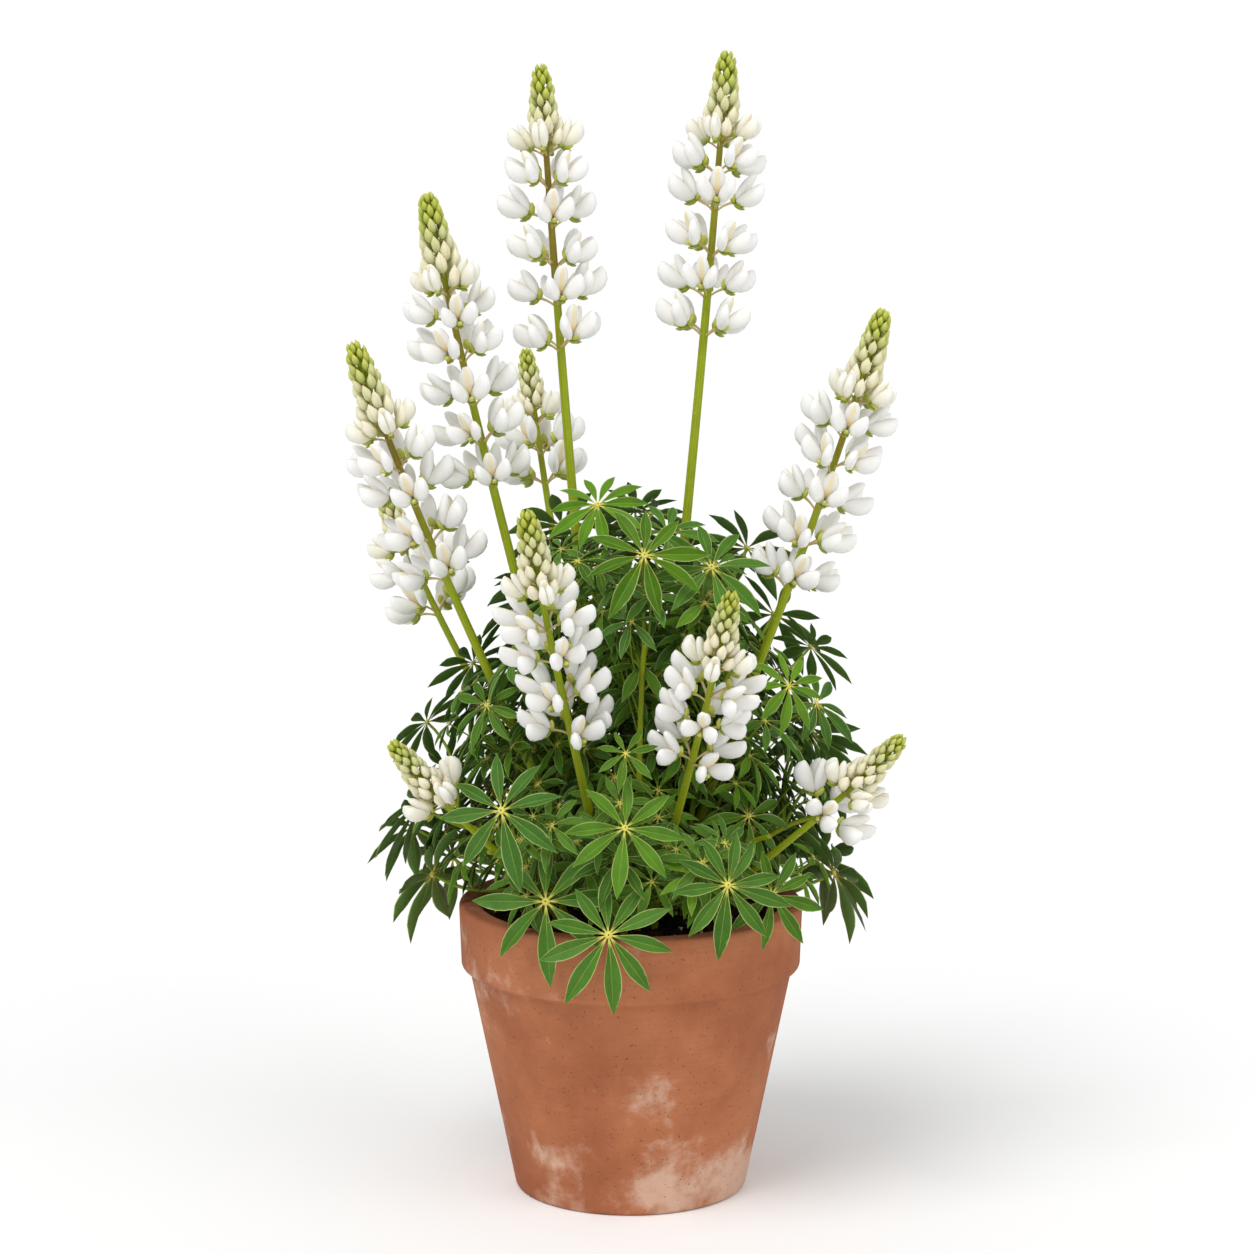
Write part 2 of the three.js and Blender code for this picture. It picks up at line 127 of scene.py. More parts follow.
mound = {
    "across": 126,
    "deep": 118,
    "high": 262,
    "heights": (0.06, 0.9, 0.97),  # of the lowest leaf, of the top one, and the most after straying
    "shell": (0.5, 0.98),
    "attempts": 150,
    "freeAfter": 12,  # attempts until a leaf may stray as far as it can
    "stray": {"turn": 0.9, "height": 0.3},
}
flowerStems = [  # tip over the middle of the soil, length of the spike, length of its cone of buds
    {"tip": (-47, 16, 455), "flowers": 160, "cone": 40},
    {"tip": (-105, -12, 389), "flowers": 168, "cone": 46},
    {"tip": (-142, -34, 314), "flowers": 150, "cone": 46},
    {"tip": (51, 46, 462), "flowers": 150, "cone": 42},
    {"tip": (130, -22, 330), "flowers": 160, "cone": 44},
    {"tip": (-52, -104, 236), "flowers": 142, "cone": 44},
    {"tip": (50, -108, 196), "flowers": 112, "cone": 40},
    {"tip": (-122, -66, 112), "flowers": 60, "cone": 40},
    {"tip": (138, -72, 116), "flowers": 66, "cone": 40},
    {"tip": (-138, 82, 228), "flowers": 92, "cone": 36},
    {"tip": (-58, 112, 300), "flowers": 96, "cone": 36},
]
leafyStems = {"baseRadius": 2.2, "tipRadius": 1.2, "swing": 14, "reach": (0.92, 1.05), "rise": (0.85, 1.2)}
leafyRings = [
    {"count": 8, "start": 46, "reach": 98, "rise": 56, "turn": 0},
    {"count": 6, "start": 30, "reach": 62, "rise": 154, "turn": 40},
]
flowerBend = {"low": (0.12, 0.2), "high": (0.62, 0.55), "steps": 6}
leafyBend = {"low": (0.06, 0.45), "high": (0.5, 0.88), "steps": 4}
fineSteps = 48


def cubicCurve(pulls, steps):  # each of four pulls times its Bernstein weight, summed
    t = np.linspace(0, 1, steps + 1)[:, None]
    a, b, c, d = pulls
    return (1 - t) ** 3 * a + 3 * (1 - t) ** 2 * t * b + 3 * (1 - t) * t**2 * c + t**3 * d


def quadraticCurve(a, b, c, steps):  # the same with three pulls
    t = np.linspace(0, 1, steps + 1)[:, None]
    return (1 - t) ** 2 * a + 2 * (1 - t) * t * b + t**2 * c


# A stem: upright from its foot to its collar, then a cubic curve to its tip. The two pulls between are shares
# of the way out and of the way up.
def stemPath(startRadius, tip, bend, steps):
    out = math.atan2(tip[1], tip[0])
    across = startRadius * vec(math.cos(out), math.sin(out), 0)
    collar = across + vec(0, 0, stand["collar"])
    pulls = [collar, *(collar + (tip - collar) * vec(s, s, r) for s, r in (bend["low"], bend["high"])), tip]
    return np.vstack([across + vec(0, 0, stand["foot"]), cubicCurve(pulls, steps)])


def backLengths(path):  # how far each point lies back from the last one
    steps = np.linalg.norm(np.diff(path, axis=0), axis=1)
    return np.append(np.cumsum(steps[::-1])[::-1], 0)


def pointsBack(path, below):  # the points at these distances back from the tip
    back = backLengths(path)[::-1]
    return np.stack([np.interp(below, back, path[::-1, k]) for k in range(3)], axis=-1)


def directionsBack(path, below, near=2.0):  # the path's direction there, from two points near by
    return unit(pointsBack(path, np.asarray(below) - near) - pointsBack(path, np.asarray(below) + near))


# The radius of a cone of buds at a distance under its tip: 3 + 5 sqrt(share) + 3.5 share^4, for a full cone.
def coneRadius(stem, below):
    share = np.minimum(np.maximum(below, 0) / stem["cone"], 1)
    return (3 + 5 * np.sqrt(share) + 3.5 * share**4) * stem["cone"] / spike["fullCone"]


# What a stem is to the rest: its path as in the solids, a finer one, and the points where leaf stalks may start.
def stemOf(startRadius, tip, bend, stem=None, number=None):
    path = stemPath(startRadius, tip, bend, bend["steps"])
    first = stem["flowers"] + leafRoots["underFlowers"] if stem else leafRoots["underTip"]
    roots = pointsBack(path, np.arange(first, backLengths(path)[0], leafRoots["step"]))
    roots = roots[roots[:, 2] > pot["height"] + leafRoots["overRim"]]
    fine = stemPath(startRadius, tip, bend, fineSteps)
    return {"path": path, "fine": fine, "roots": roots, "stem": stem, "number": number, "leaves": [], "inner": []}


def floweringStem(stem, number):  # the more it leans, the further out it starts
    lean = math.hypot(stem["tip"][0], stem["tip"][1]) / stem["tip"][2]
    tip = vec(*stem["tip"]) + vec(0, 0, soil["level"])
    start = mix(*spike["start"], min(lean / spike["fullLean"], 1))
    carrier = stemOf(start, tip, flowerBend, stem, number)
    carrier["browned"] = mix(*spike["brown"], draw(number, 77)) * (stem["tip"][1] > spike["greenBefore"])
    return carrier


def leafyStem(ring, index):
    swing = spread(leafyStems["swing"], draw(index, ring["count"]))
    turn = math.radians(ring["turn"] + 360 / ring["count"] * index + swing)
    reach = ring["reach"] * mix(*leafyStems["reach"], draw(index, 3))
    rise = ring["rise"] * mix(*leafyStems["rise"], draw(index, 4))
    tip = vec(reach * math.cos(turn), reach * math.sin(turn), soil["level"] + rise)
    return stemOf(ring["start"], tip, leafyBend)


# The direction out to a point of the mound, and the point, a share of the way out to the mound's dome.
def moundPoint(turn, height, shell, lift=0):
    flat = math.sqrt(1 - height * height)
    outward = vec(flat * math.cos(turn), flat * math.sin(turn), height)
    dome = outward * vec(mound["across"], mound["deep"], mound["high"])
    return outward, dome * shell + vec(0, 0, soil["level"] + lift)


# Leaves climb round the mound by the golden turn, and stray further at each attempt. They face outwards, half
# as much again and a half more along y, and 0.42 + 0.6 height upwards.
def leafPlace(number, attempt):
    moved, stray = min(attempt / mound["freeAfter"], 1), mound["stray"]
    low, high, most = mound["heights"]
    turn = number * goldenTurn + spread(moved * stray["turn"], draw(number, attempt + 10))
    sunk = spread(moved * stray["height"], draw(number, attempt + 210))
    height = min(max(mix(low, high, (number + 0.5) / leaf["count"]) + sunk, 0), most)
    outward, hub = moundPoint(turn, height, mix(*mound["shell"], draw(number, attempt + 410)))
    forward = outward[1] * 1.5 + 0.5 * np.sign(outward[1])
    facing = unit(vec(outward[0], forward, 0.42 + 0.6 * height))
    size = leaf["span"] / 2 * mix(*leaf["spanShares"], draw(number, 5))
    size = size * mix(1, leaf["lastShare"], attempt / mound["attempts"])
    leaflets = leaf["leaflets"] - 1 + math.floor(3 * draw(number, 6))
    return {"hub": hub, "facing": facing, "size": size, "leaflets": leaflets, "turn": draw(number, 7)}


def leafletsOf(place):  # directions in the leaf's plane, evenly turned, and lengths, longer below than above
    upward = unit(vec(0, 0, 1) - place["facing"] * place["facing"][2])
    sideways = np.cross(place["facing"], upward)
    angles = (np.arange(place["leaflets"]) + place["turn"]) * 2 * math.pi / place["leaflets"]
    along = np.cos(angles)[:, None] * upward + np.sin(angles)[:, None] * sideways
    return along, place["size"] * (0.92 - 0.12 * np.cos(angles))


def leafletPoints(place, share):  # a share of the way out on each leaflet, drooping by droop * share squared
    along, lengths = leafletsOf(place)
    down = place["facing"] * (leaf["droop"] * share * share)
    return place["hub"] + lengths[:, None] * (along * share - down)


def stalkOf(place, allRoots, owners):  # a quadratic curve from the nearest root on a stem to the leaf's hub
    stalk = leaf["stalk"]
    wanted = place["hub"] - stalk["back"] * place["facing"] - vec(0, 0, stalk["down"])
    nearest = int(np.argmin(np.linalg.norm(allRoots - wanted, axis=1)))
    root = allRoots[nearest]
    middle = place["hub"] - place["facing"] * (stalk["bend"] * np.linalg.norm(root - place["hub"]))
    return {"owner": int(owners[nearest]), "pulls": (root, middle, place["hub"])}


# Room is sought with beads: a leaf has one at its hub, one at each leaflet's tip, some along each, and six along
# its stalk. A stem has them as wide as its buds, its flowers or itself.
leafBead = {"hub": 3.0, "tip": 1.6, "blade": 2.9, "stalk": 1.6, "nearTip": 0.95, "along": (0.3, 0.52, 0.74)}
stemBead = {"step": 6, "bare": 2.4, "pastFlowers": 6, "cone": 1.2, "flowers": (16, 24), "fullAfter": 20}


def leafBeads(place, stalk):
    points = [place["hub"][None], leafletPoints(place, leafBead["nearTip"])]
    points += [leafletPoints(place, share) for share in leafBead["along"]]
    points.append(quadraticCurve(*stalk["pulls"], 8)[2:8])
    n = place["leaflets"]
    radii = np.repeat([leafBead[name] for name in ("hub", "tip", "blade", "stalk")], (1, n, 3 * n, 6))
    onStalk = np.arange(len(radii)) > 4 * n
    return np.vstack(points), radii, onStalk


# Clear of the pot, and of every other bead by the air gap. A stalk may touch the stem that it grows from.
def isClear(beads, owner, room, airGap):
    points, radii, onStalk = beads
    inside = np.hypot(points[:, 0], points[:, 1]) <= pot["rimRadius"] + radii + 1
    if np.any(inside & (points[:, 2] < pot["height"] + radii + 1)):
        return False
    squares = np.sum(points**2, axis=1)[:, None] + np.sum(room["points"] ** 2, axis=1)
    close = squares - 2 * points @ room["points"].T < (radii[:, None] + room["radii"] + airGap) ** 2
    close &= ~(onStalk[:, None] & (room["owners"] == owner))
    return not close.any()


def addRoom(room, points, radii, owner):
    room["points"] = np.vstack([room["points"], points])
    room["radii"] = np.append(room["radii"], radii)
    room["owners"] = np.append(room["owners"], np.full(len(radii), owner))


def stemRoom(carriers):
    room = {"points": np.empty((0, 3)), "radii": np.empty(0), "owners": np.empty(0, int)}
    for index, carrier in enumerate(carriers):
        stem = carrier["stem"]
        below = np.arange(0, backLengths(carrier["path"])[0], stemBead["step"])
        radii = np.full(len(below), leafyStems["baseRadius"], float)
        if stem:
            flowers = mix(*stemBead["flowers"], np.minimum((below - stem["cone"]) / stemBead["fullAfter"], 1))
            radii = np.where(below < stem["cone"], coneRadius(stem, below) * stemBead["cone"], flowers)
            radii = np.where(below > stem["flowers"] + stemBead["pastFlowers"], stemBead["bare"], radii)
        addRoom(room, pointsBack(carrier["path"], below), radii, index)
    return room


def rootsOf(carriers):
    owners = np.concatenate([np.full(len(c["roots"]), i) for i, c in enumerate(carriers)])
    return np.vstack([c["roots"] for c in carriers]), owners


def placeLeaves(carriers):  # each leaf goes where its first attempt that is clear puts it, or is left out
    room = stemRoom(carriers)
    allRoots, owners = rootsOf(carriers)
    for number in range(leaf["count"]):
        for attempt in range(mound["attempts"]):
            place = leafPlace(number, attempt)
            stalk = stalkOf(place, allRoots, owners)
            beads = leafBeads(place, stalk)
            if isClear(beads, stalk["owner"], room, leaf["airGap"]):
                addRoom(room, beads[0], beads[1], stalk["owner"])
                carriers[stalk["owner"]]["leaves"].append({"place": place, "stalk": stalk, "seed": number})
                break
    return room


flowering = [floweringStem(stem, i) for i, stem in enumerate(flowerStems)]
leafy = [leafyStem(ring, i) for ring in leafyRings for i in range(ring["count"])]
room = placeLeaves(flowering + leafy)
leafy = [c for c in leafy if c["leaves"]]
print("layout:", sum(len(c["leaves"]) for c in flowering + leafy), "leaves,", len(leafy), "leafy stems")


# Surfaces as arrays


def around(count):  # the angles round a ring, as a row
    return np.linspace(0, 2 * math.pi, count, endpoint=False)[None]


def columns(*parts):  # coordinates or sizes side by side, each a number or an array
    return np.stack(np.broadcast_arrays(*parts), axis=-1)


def ringsAt(radius, angle, height):  # radius * cos angle, radius * sin angle and the height
    return columns(radius * np.cos(angle), radius * np.sin(angle), height)


# A grid of points, rows along and columns round, made into quads. The first and the last row shrink to one
# point each, and their quads to triangles. Each corner keeps its place round and along the grid as its UV.
def gridPatch(points, across=None, **values):
    rows, cols = points.shape[:2]
    number = np.arange(rows * cols).reshape(rows, cols)
    number[0], number[-1] = number[0, 0], number[-1, 0]
    number = number[:, np.arange(cols + 1) % cols]
    across = np.linspace(0, 1, cols + 1) if across is None else across
    uv = np.stack(np.meshgrid(across, np.linspace(0, 1, rows)), axis=2)
    faces, corners = cornersOf(number), cornersOf(uv)
    start, end = faces[:, 0] == faces[:, 1], faces[:, 2] == faces[:, 3]
    faces[start] = faces[start][:, [0, 2, 3, 3]]
    corners[start] = corners[start][:, [0, 2, 3, 3]]
    faces[start | end, 3] = -1
    used, inverse = np.unique(faces[faces >= 0], return_inverse=True)
    faces[faces >= 0] = inverse.ravel()
    values = {k: np.broadcast_to(v, (rows, cols)).ravel()[used] for k, v in values.items()}
    return {"points": points.reshape(-1, 3)[used], "faces": faces, "uv": corners, "values": values}


def cornersOf(grid):
    four = [grid[:-1, :-1], grid[:-1, 1:], grid[1:, 1:], grid[1:, :-1]]
    return np.stack(four, axis=2).reshape(-1, 4, *grid.shape[2:])


# One copy of a patch for each origin: every point times the copy's three sizes, along its three axes.
def copies(patch, origins, axes, sizes, **values):
    count, n = len(origins), len(patch["points"])
    sizes = np.broadcast_to(np.asarray(sizes, float).reshape(count, -1), (count, 3))
    points = origins[:, None] + np.einsum("npk,nkc->npc", patch["points"][None] * sizes[:, None], axes)
    shift = (np.arange(count) * n)[:, None, None] * (patch["faces"] >= 0)
    kept = {k: np.tile(v, count) for k, v in patch["values"].items()}
    kept.update({k: np.repeat(v, n) for k, v in values.items()})
    faces, uv = (patch["faces"][None] + shift).reshape(-1, 4), np.tile(patch["uv"], (count, 1, 1))
    return {"points": points.reshape(-1, 3), "faces": faces, "uv": uv, "values": kept}


def joined(patches):
    starts = np.cumsum([0] + [len(p["points"]) for p in patches[:-1]])
    faces = np.vstack([np.where(p["faces"] < 0, -1, p["faces"] + s) for p, s in zip(patches, starts)])
    names = {name for p in patches for name in p["values"]}
    blank = lambda p: np.zeros(len(p["points"]))
    values = {k: np.concatenate([p["values"].get(k, blank(p)) for p in patches]) for k in names}
    points = np.vstack([p["points"] for p in patches])
    return {"points": points, "faces": faces, "uv": np.vstack([p["uv"] for p in patches]), "values": values}


# Rings of points round each point of a path, square to it, at that point's radius, closed at both ends.
def tubePatch(path, radii, sides, reference=(1, 0, 0), **values):
    along = unit(np.gradient(path, axis=0))
    first = unit(reference - along * (along @ np.asarray(reference, float))[:, None])
    second = np.cross(along, first)
    angle = around(sides)[..., None]
    radii = np.broadcast_to(radii, len(path))[:, None, None]
    rings = path[:, None] + radii * (np.cos(angle) * first[:, None] + np.sin(angle) * second[:, None])
    ends = [np.repeat(path[i][None, None], sides, axis=1) for i in (0, -1)]
    values = {k: np.pad(np.broadcast_to(v, len(path)), 1, "edge")[:, None] for k, v in values.items()}
    return gridPatch(np.concatenate([ends[0], rings, ends[1]]), **values)


def quadraticTube(pulls, steps, radii, sides, **values):  # along a curve, its rings kept from twisting
    a, b, c = pulls
    square = np.cross(b - a, c - b) + vec(1e-3, 2e-3, 1e-3)
    return tubePatch(quadraticCurve(a, b, c, steps), radii, sides, unit(square), **values)


def linked(name, data):
    made = bpy.data.objects.new(name, data)
    bpy.context.scene.collection.objects.link(made)
    return made


# One Blender mesh from a patch, in metres, smooth, with its UV map and its values as point attributes.
def makePiece(name, patch, material, node):
    mesh = bpy.data.meshes.new(name)
    kept = patch["faces"] >= 0
    corners = kept.sum(axis=1)
    mesh.vertices.add(len(patch["points"]))
    mesh.vertices.foreach_set("co", (patch["points"] * metresPerMm).astype(np.float32).ravel())
    mesh.loops.add(int(corners.sum()))
    mesh.loops.foreach_set("vertex_index", patch["faces"][kept].astype(np.int32))
    mesh.polygons.add(len(corners))
    mesh.polygons.foreach_set("loop_start", (np.cumsum(corners) - corners).astype(np.int32))
    mesh.uv_layers.new(name="UVMap").data.foreach_set("uv", patch["uv"][kept].astype(np.float32).ravel())
    for key, value in patch["values"].items():
        mesh.attributes.new(key, "FLOAT", "POINT").data.foreach_set("value", value.astype(np.float32))
    mesh.update(calc_edges=True)
    mesh.shade_smooth()
    mesh.set_sharp_from_angle(angle=bladeEdge)
    mesh.materials.append(material)
    piece = linked(name, mesh)
    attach(piece, "root")
    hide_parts(node)
    return piece


# Node helpers: each gives back a socket or a node


def addNode(tree, kind, inputs=None, **settings):
    made = tree.nodes.new("ShaderNode" + kind)
    for key, value in settings.items():
        setattr(made, key, value)
    for key, value in (inputs or {}).items():
        if isinstance(value, bpy.types.NodeSocket):
            tree.links.new(value, made.inputs[key])
        else:
            made.inputs[key].default_value = value
    return made


def calc(tree, how, a, b=0.0, c=0.0):
    return addNode(tree, "Math", {0: a, 1: b, 2: c}, operation=how).outputs[0]


def times(tree, a, b):
    return calc(tree, "MULTIPLY", a, b)


def folded(tree, value):  # up to a half and down again
    return calc(tree, "PINGPONG", value, 0.5)


def ranged(tree, value, low, high, toLow=0.0, toHigh=1.0):  # smoothly from one end to the other
    inputs = {"Value": value, "From Min": low, "From Max": high, "To Min": toLow, "To Max": toHigh}
    return addNode(tree, "MapRange", inputs, interpolation_type="SMOOTHSTEP").outputs[0]


def blendColour(tree, share, a, b):
    return addNode(tree, "Mix", {0: share, 6: a, 7: b}, data_type="RGBA").outputs[2]


# Colours of a look one over the other, each as far as its mask lets it, or a share of that.
def layered(tree, colour, look, *layers):
    for name, mask, *share in layers:
        mask = times(tree, mask, *share) if share else mask
        colour = blendColour(tree, mask, colour, look[name])
    return colour


def noiseOf(tree, place, scale, detail=3.0, rough=0.55):
    inputs = {"Vector": place, "Scale": scale, "Detail": detail, "Roughness": rough}
    return addNode(tree, "TexNoise", inputs).outputs[0]


def attributeOf(tree, name):
    return addNode(tree, "Attribute", attribute_name=name).outputs["Fac"]


def placeOf(tree):
    return addNode(tree, "TexCoord").outputs["Object"]


def uvOf(tree):
    split = addNode(tree, "SeparateXYZ", {0: addNode(tree, "UVMap", uv_map="UVMap").outputs[0]})
    return split.outputs[0], split.outputs[1]


def rgb(*values):
    return (*values, 1.0)


# A material, its nodes and its place in space. What is the same all over is set on its shader.
def startMaterial(name, **constants):
    material = bpy.data.materials.new(name)
    material.use_nodes = True
    tree = material.node_tree
    for key, value in constants.items():
        tree.nodes["Principled BSDF"].inputs[key.replace("_", " ")].default_value = value
    return material, tree, placeOf(tree)


def finishMaterial(material, colour, fine, height, look):
    tree = material.node_tree
    bump = addNode(tree, "Bump", {"Height": height, "Strength": 1.0, "Distance": look["relief"]})
    found = {"Base Color": colour, "Roughness": fine["Roughness"], "Normal": bump.outputs[0]}
    for key, socket in found.items():
        tree.links.new(socket, tree.nodes["Principled BSDF"].inputs[key])
    return material


def newGroup(name, ins, outs):
    group = bpy.data.node_groups.new(name, "ShaderNodeTree")
    for way, sockets in (("INPUT", ins), ("OUTPUT", outs)):
        for label, kind in sockets.items():
            group.interface.new_socket(label, in_out=way, socket_type="NodeSocket" + kind)
    return group, group.nodes.new("NodeGroupInput").outputs, group.nodes.new("NodeGroupOutput").inputs


def placeGroup(tree, group, **inputs):
    return addNode(tree, "Group", inputs, node_tree=group).outputs


# Shared effects


# The colour, brighter and darker in soft clouds: its value times 1 + Amount * 2 * (noise - 0.5).
def makeMottle():
    group, given, out = newGroup(
        "softMottle", {"Color": "Color", "Place": "Vector", "Scale": "Float", "Amount": "Float"}, {"Color": "Color"}
    )
    cloud = calc(group, "SUBTRACT", noiseOf(group, given["Place"], given["Scale"]), 0.5)
    tone = calc(group, "MULTIPLY_ADD", times(group, cloud, 2.0), given["Amount"], 1.0)
    made = addNode(group, "HueSaturation", {"Value": tone, "Color": given["Color"]}).outputs[0]
    group.links.new(made, out["Color"])
    return group


# Grain for roughness and relief: fine noise over coarser noise.
def makeGrain():
    group, given, out = newGroup(
        "fineGrain",
        {"Place": "Vector", "Scale": "Float", "Low": "Float", "High": "Float"},
        {"Roughness": "Float", "Height": "Float"},
    )
    fine = noiseOf(group, given["Place"], given["Scale"], 4.0, 0.6)
    coarse = noiseOf(group, given["Place"], times(group, given["Scale"], 0.22), 2.0)
    height = calc(group, "MULTIPLY_ADD", coarse, 0.6, times(group, fine, 0.4))
    group.links.new(height, out["Height"])
    group.links.new(ranged(group, fine, 0.3, 0.7, given["Low"], given["High"]), out["Roughness"])
    return group


# Lines of a blade from its UV: the midrib, the margins, and side veins that run forward from the midrib.
def makeVeins():
    group, given, out = newGroup(
        "bladeVeins",
        {"Across": "Float", "Along": "Float", "Count": "Float", "Slant": "Float"},
        {"Midrib": "Float", "Margin": "Float", "Side Veins": "Float"},
    )
    wrapped = calc(group, "FRACT", given["Across"])
    offMiddle = times(group, calc(group, "ABSOLUTE", calc(group, "SUBTRACT", wrapped, 0.5)), 2.0)
    group.links.new(ranged(group, offMiddle, 0.06, 0.015), out["Midrib"])
    group.links.new(ranged(group, offMiddle, 0.87, 0.94), out["Margin"])
    slanted = calc(group, "MULTIPLY_ADD", offMiddle, times(group, given["Slant"], -1.0), given["Along"])
    wave = folded(group, times(group, slanted, given["Count"]))
    group.links.new(ranged(group, wave, 0.13, 0.03), out["Side Veins"])
    return group


mottle = makeMottle()
grain = makeGrain()
veins = makeVeins()


def clouded(tree, place, colour, look):
    scale, amount = look["clouds"]
    return placeGroup(tree, mottle, Color=colour, Place=place, Scale=scale, Amount=amount)["Color"]


def grained(tree, place, look):  # its roughness lies between the look's two values
    scale, low, high = look["grain"]
    return placeGroup(tree, grain, Place=place, Scale=scale, Low=low, High=high)


# Materials of the plant. Clouds are a scale and a strength, grain is a scale and a range of roughness. The
# other pairs of numbers say where on a petal a colour starts and where it is full.

petalLook = {
    "white": rgb(0.88, 0.87, 0.85),
    "cream": rgb(0.88, 0.77, 0.51),
    "green": rgb(0.60, 0.64, 0.26),
    "yellow": rgb(0.87, 0.64, 0.26),
    "young": rgb(0.84, 0.80, 0.60),
    "edge": (0.035, 0.01),
    "crease": (0.15, 0.05),
    "creamBand": (0.3, 0.5),
    "foot": (0.15, 0.0),
    "veins": 16.0,
    "slant": 0.8,
    "clouds": (160.0, 0.04),
    "grain": (900.0, 0.42, 0.58),
    "relief": 0.00008,
}


# White, with a cream line along the wings' upper edge, a yellow band up the banner's crease that turns
# cream to its point, a greenish foot, and cream all over where a flower is only half open.
def petalMaterial():
    material, tree, place = startMaterial(
        "lupinePetal",
        Subsurface_Weight=0.25,
        Subsurface_Scale=0.003,
        Subsurface_Radius=(1.0, 0.9, 0.7),
        Specular_IOR_Level=0.35,
    )
    look, banner = petalLook, attributeOf(tree, "banner")
    u, v = uvOf(tree)
    lines = placeGroup(tree, veins, Across=u, Along=v, Count=look["veins"], Slant=look["slant"])
    paler = times(tree, attributeOf(tree, "young"), ranged(tree, v, 1.0, 0.2, 0.4, 1.3))
    edge = times(tree, ranged(tree, folded(tree, u), *look["edge"]), calc(tree, "SUBTRACT", 1.0, banner))
    colour = layered(tree, look["white"], look, ("young", paler), ("cream", edge))
    crease = ranged(tree, folded(tree, calc(tree, "SUBTRACT", u, 0.5)), *look["crease"], 0.0, 0.9)
    band = layered(tree, look["yellow"], look, ("cream", ranged(tree, v, *look["creamBand"])))
    colour = blendColour(tree, times(tree, crease, banner), colour, band)
    colour = layered(tree, colour, look, ("green", ranged(tree, v, *look["foot"], 0.0, 0.7)))
    colour, fine = clouded(tree, place, colour, look), grained(tree, place, look)
    height = calc(tree, "MULTIPLY_ADD", lines["Side Veins"], 0.2, fine["Height"])
    return finishMaterial(material, colour, fine, height, look)


budLook = {
    "greenFoot": rgb(0.27, 0.33, 0.015),
    "greenTip": rgb(0.53, 0.56, 0.08),
    "whiteFoot": rgb(0.60, 0.59, 0.21),
    "whiteTip": rgb(0.86, 0.80, 0.61),
    # painted shade: the darker green laid into the grooves between a bud's ridges
    "grooveShade": rgb(0.30, 0.38, 0.08),
    "ribs": 3.0,
    "clouds": (220.0, 0.16),
    "grain": (1100.0, 0.45, 0.65),
    "relief": 0.0001,
}


# From lime green buds with pale points at the top of the cone to cream ones with a green foot below, and painted
# shade, a darker green, in the grooves between each bud's ridges.
def budMaterial():
    material, tree, place = startMaterial("lupineBud", Subsurface_Weight=0.15, Subsurface_Scale=0.002)
    look, (u, v) = budLook, uvOf(tree)
    young = layered(tree, look["greenFoot"], look, ("greenTip", ranged(tree, v, 0.12, 0.85)))
    old = layered(tree, look["whiteFoot"], look, ("whiteTip", ranged(tree, v, 0.05, 0.5)))
    ribs = folded(tree, times(tree, u, look["ribs"]))
    colour = blendColour(tree, attributeOf(tree, "ripe"), young, old)
    # Painted shade: darker green where the ridges' relief is lowest, in the grooves between them
    colour = layered(tree, colour, look, ("grooveShade", ranged(tree, ribs, 0.12, 0.0, 0.0, 0.25)))
    colour, fine = clouded(tree, place, colour, look), grained(tree, place, look)
    return finishMaterial(material, colour, fine, calc(tree, "ADD", fine["Height"], ribs), look)


greenLook = {
    "calyxFoot": rgb(0.34, 0.40, 0.025),
    "calyxTip": rgb(0.62, 0.60, 0.13),
    "lowerLip": rgb(0.23, 0.29, 0.03),
    "stalk": rgb(0.62, 0.38, 0.23),
    "stalkGreen": rgb(0.56, 0.50, 0.19),
    "clouds": (300.0, 0.2),
    "grain": (1300.0, 0.5, 0.7),
    "relief": 0.0001,
}


# Calyx lips, green with a lighter point, the lower one darker, and flower stalks, tan to pinkish brown.
def greenMaterial():
    material, tree, place = startMaterial("lupineCalyx", Specular_IOR_Level=0.4)
    look, v = greenLook, uvOf(tree)[1]
    tip, low = ranged(tree, v, 0.1, 0.95), attributeOf(tree, "low")
    calyx = layered(tree, look["calyxFoot"], look, ("calyxTip", tip), ("lowerLip", low, 0.75))
    stalk = layered(tree, look["stalk"], look, ("stalkGreen", noiseOf(tree, place, 90.0)))
    colour = blendColour(tree, attributeOf(tree, "warm"), calyx, stalk)
    colour, fine = clouded(tree, place, colour, look), grained(tree, place, look)
    return finishMaterial(material, colour, fine, fine["Height"], look)


stemLook = {
    "lime": rgb(0.25, 0.32, 0.002),
    # pale: partly the stem's own pale streaks, partly a painted highlight on the raised tops of the ribs
    "pale": rgb(0.41, 0.45, 0.02),
    "olive": rgb(0.27, 0.22, 0.02),
    "brown": rgb(0.21, 0.13, 0.012),
    "scar": rgb(0.55, 0.52, 0.30),
    "ribs": 9.0,
    "clouds": (130.0, 0.18),
    "grain": (900.0, 0.4, 0.6),
    "relief": 0.0002,
}


# Bright lime green low down and olive brown in the spike, with fine ribs along the stem whose raised tops are pale,
# partly the stem's own streaks and partly a painted highlight, and small scars.
def stemMaterial():
    material, tree, place = startMaterial("lupineStem", Specular_IOR_Level=0.25)
    look, u = stemLook, uvOf(tree)[0]
    ribs = folded(tree, times(tree, u, look["ribs"]))
    # Pale along the raised tops of the ribs: partly the stem's own streaks, partly a painted highlight
    green = layered(tree, look["lime"], look, ("pale", ranged(tree, ribs, 0.0, 0.5, 0.0, 0.45)))
    brown = layered(tree, look["olive"], look, ("brown", noiseOf(tree, place, 70.0)))
    cloud = calc(tree, "MULTIPLY_ADD", noiseOf(tree, place, 60.0), 0.5, attributeOf(tree, "high"))
    colour = blendColour(tree, ranged(tree, cloud, 0.55, 1.0), green, brown)
    scars = ranged(tree, noiseOf(tree, place, 420.0, 1.0), 0.72, 0.78)
    colour = layered(tree, colour, look, ("scar", scars, 0.5))
    colour, fine = clouded(tree, place, colour, look), grained(tree, place, look)
    return finishMaterial(material, colour, fine, calc(tree, "ADD", fine["Height"], ribs), look)


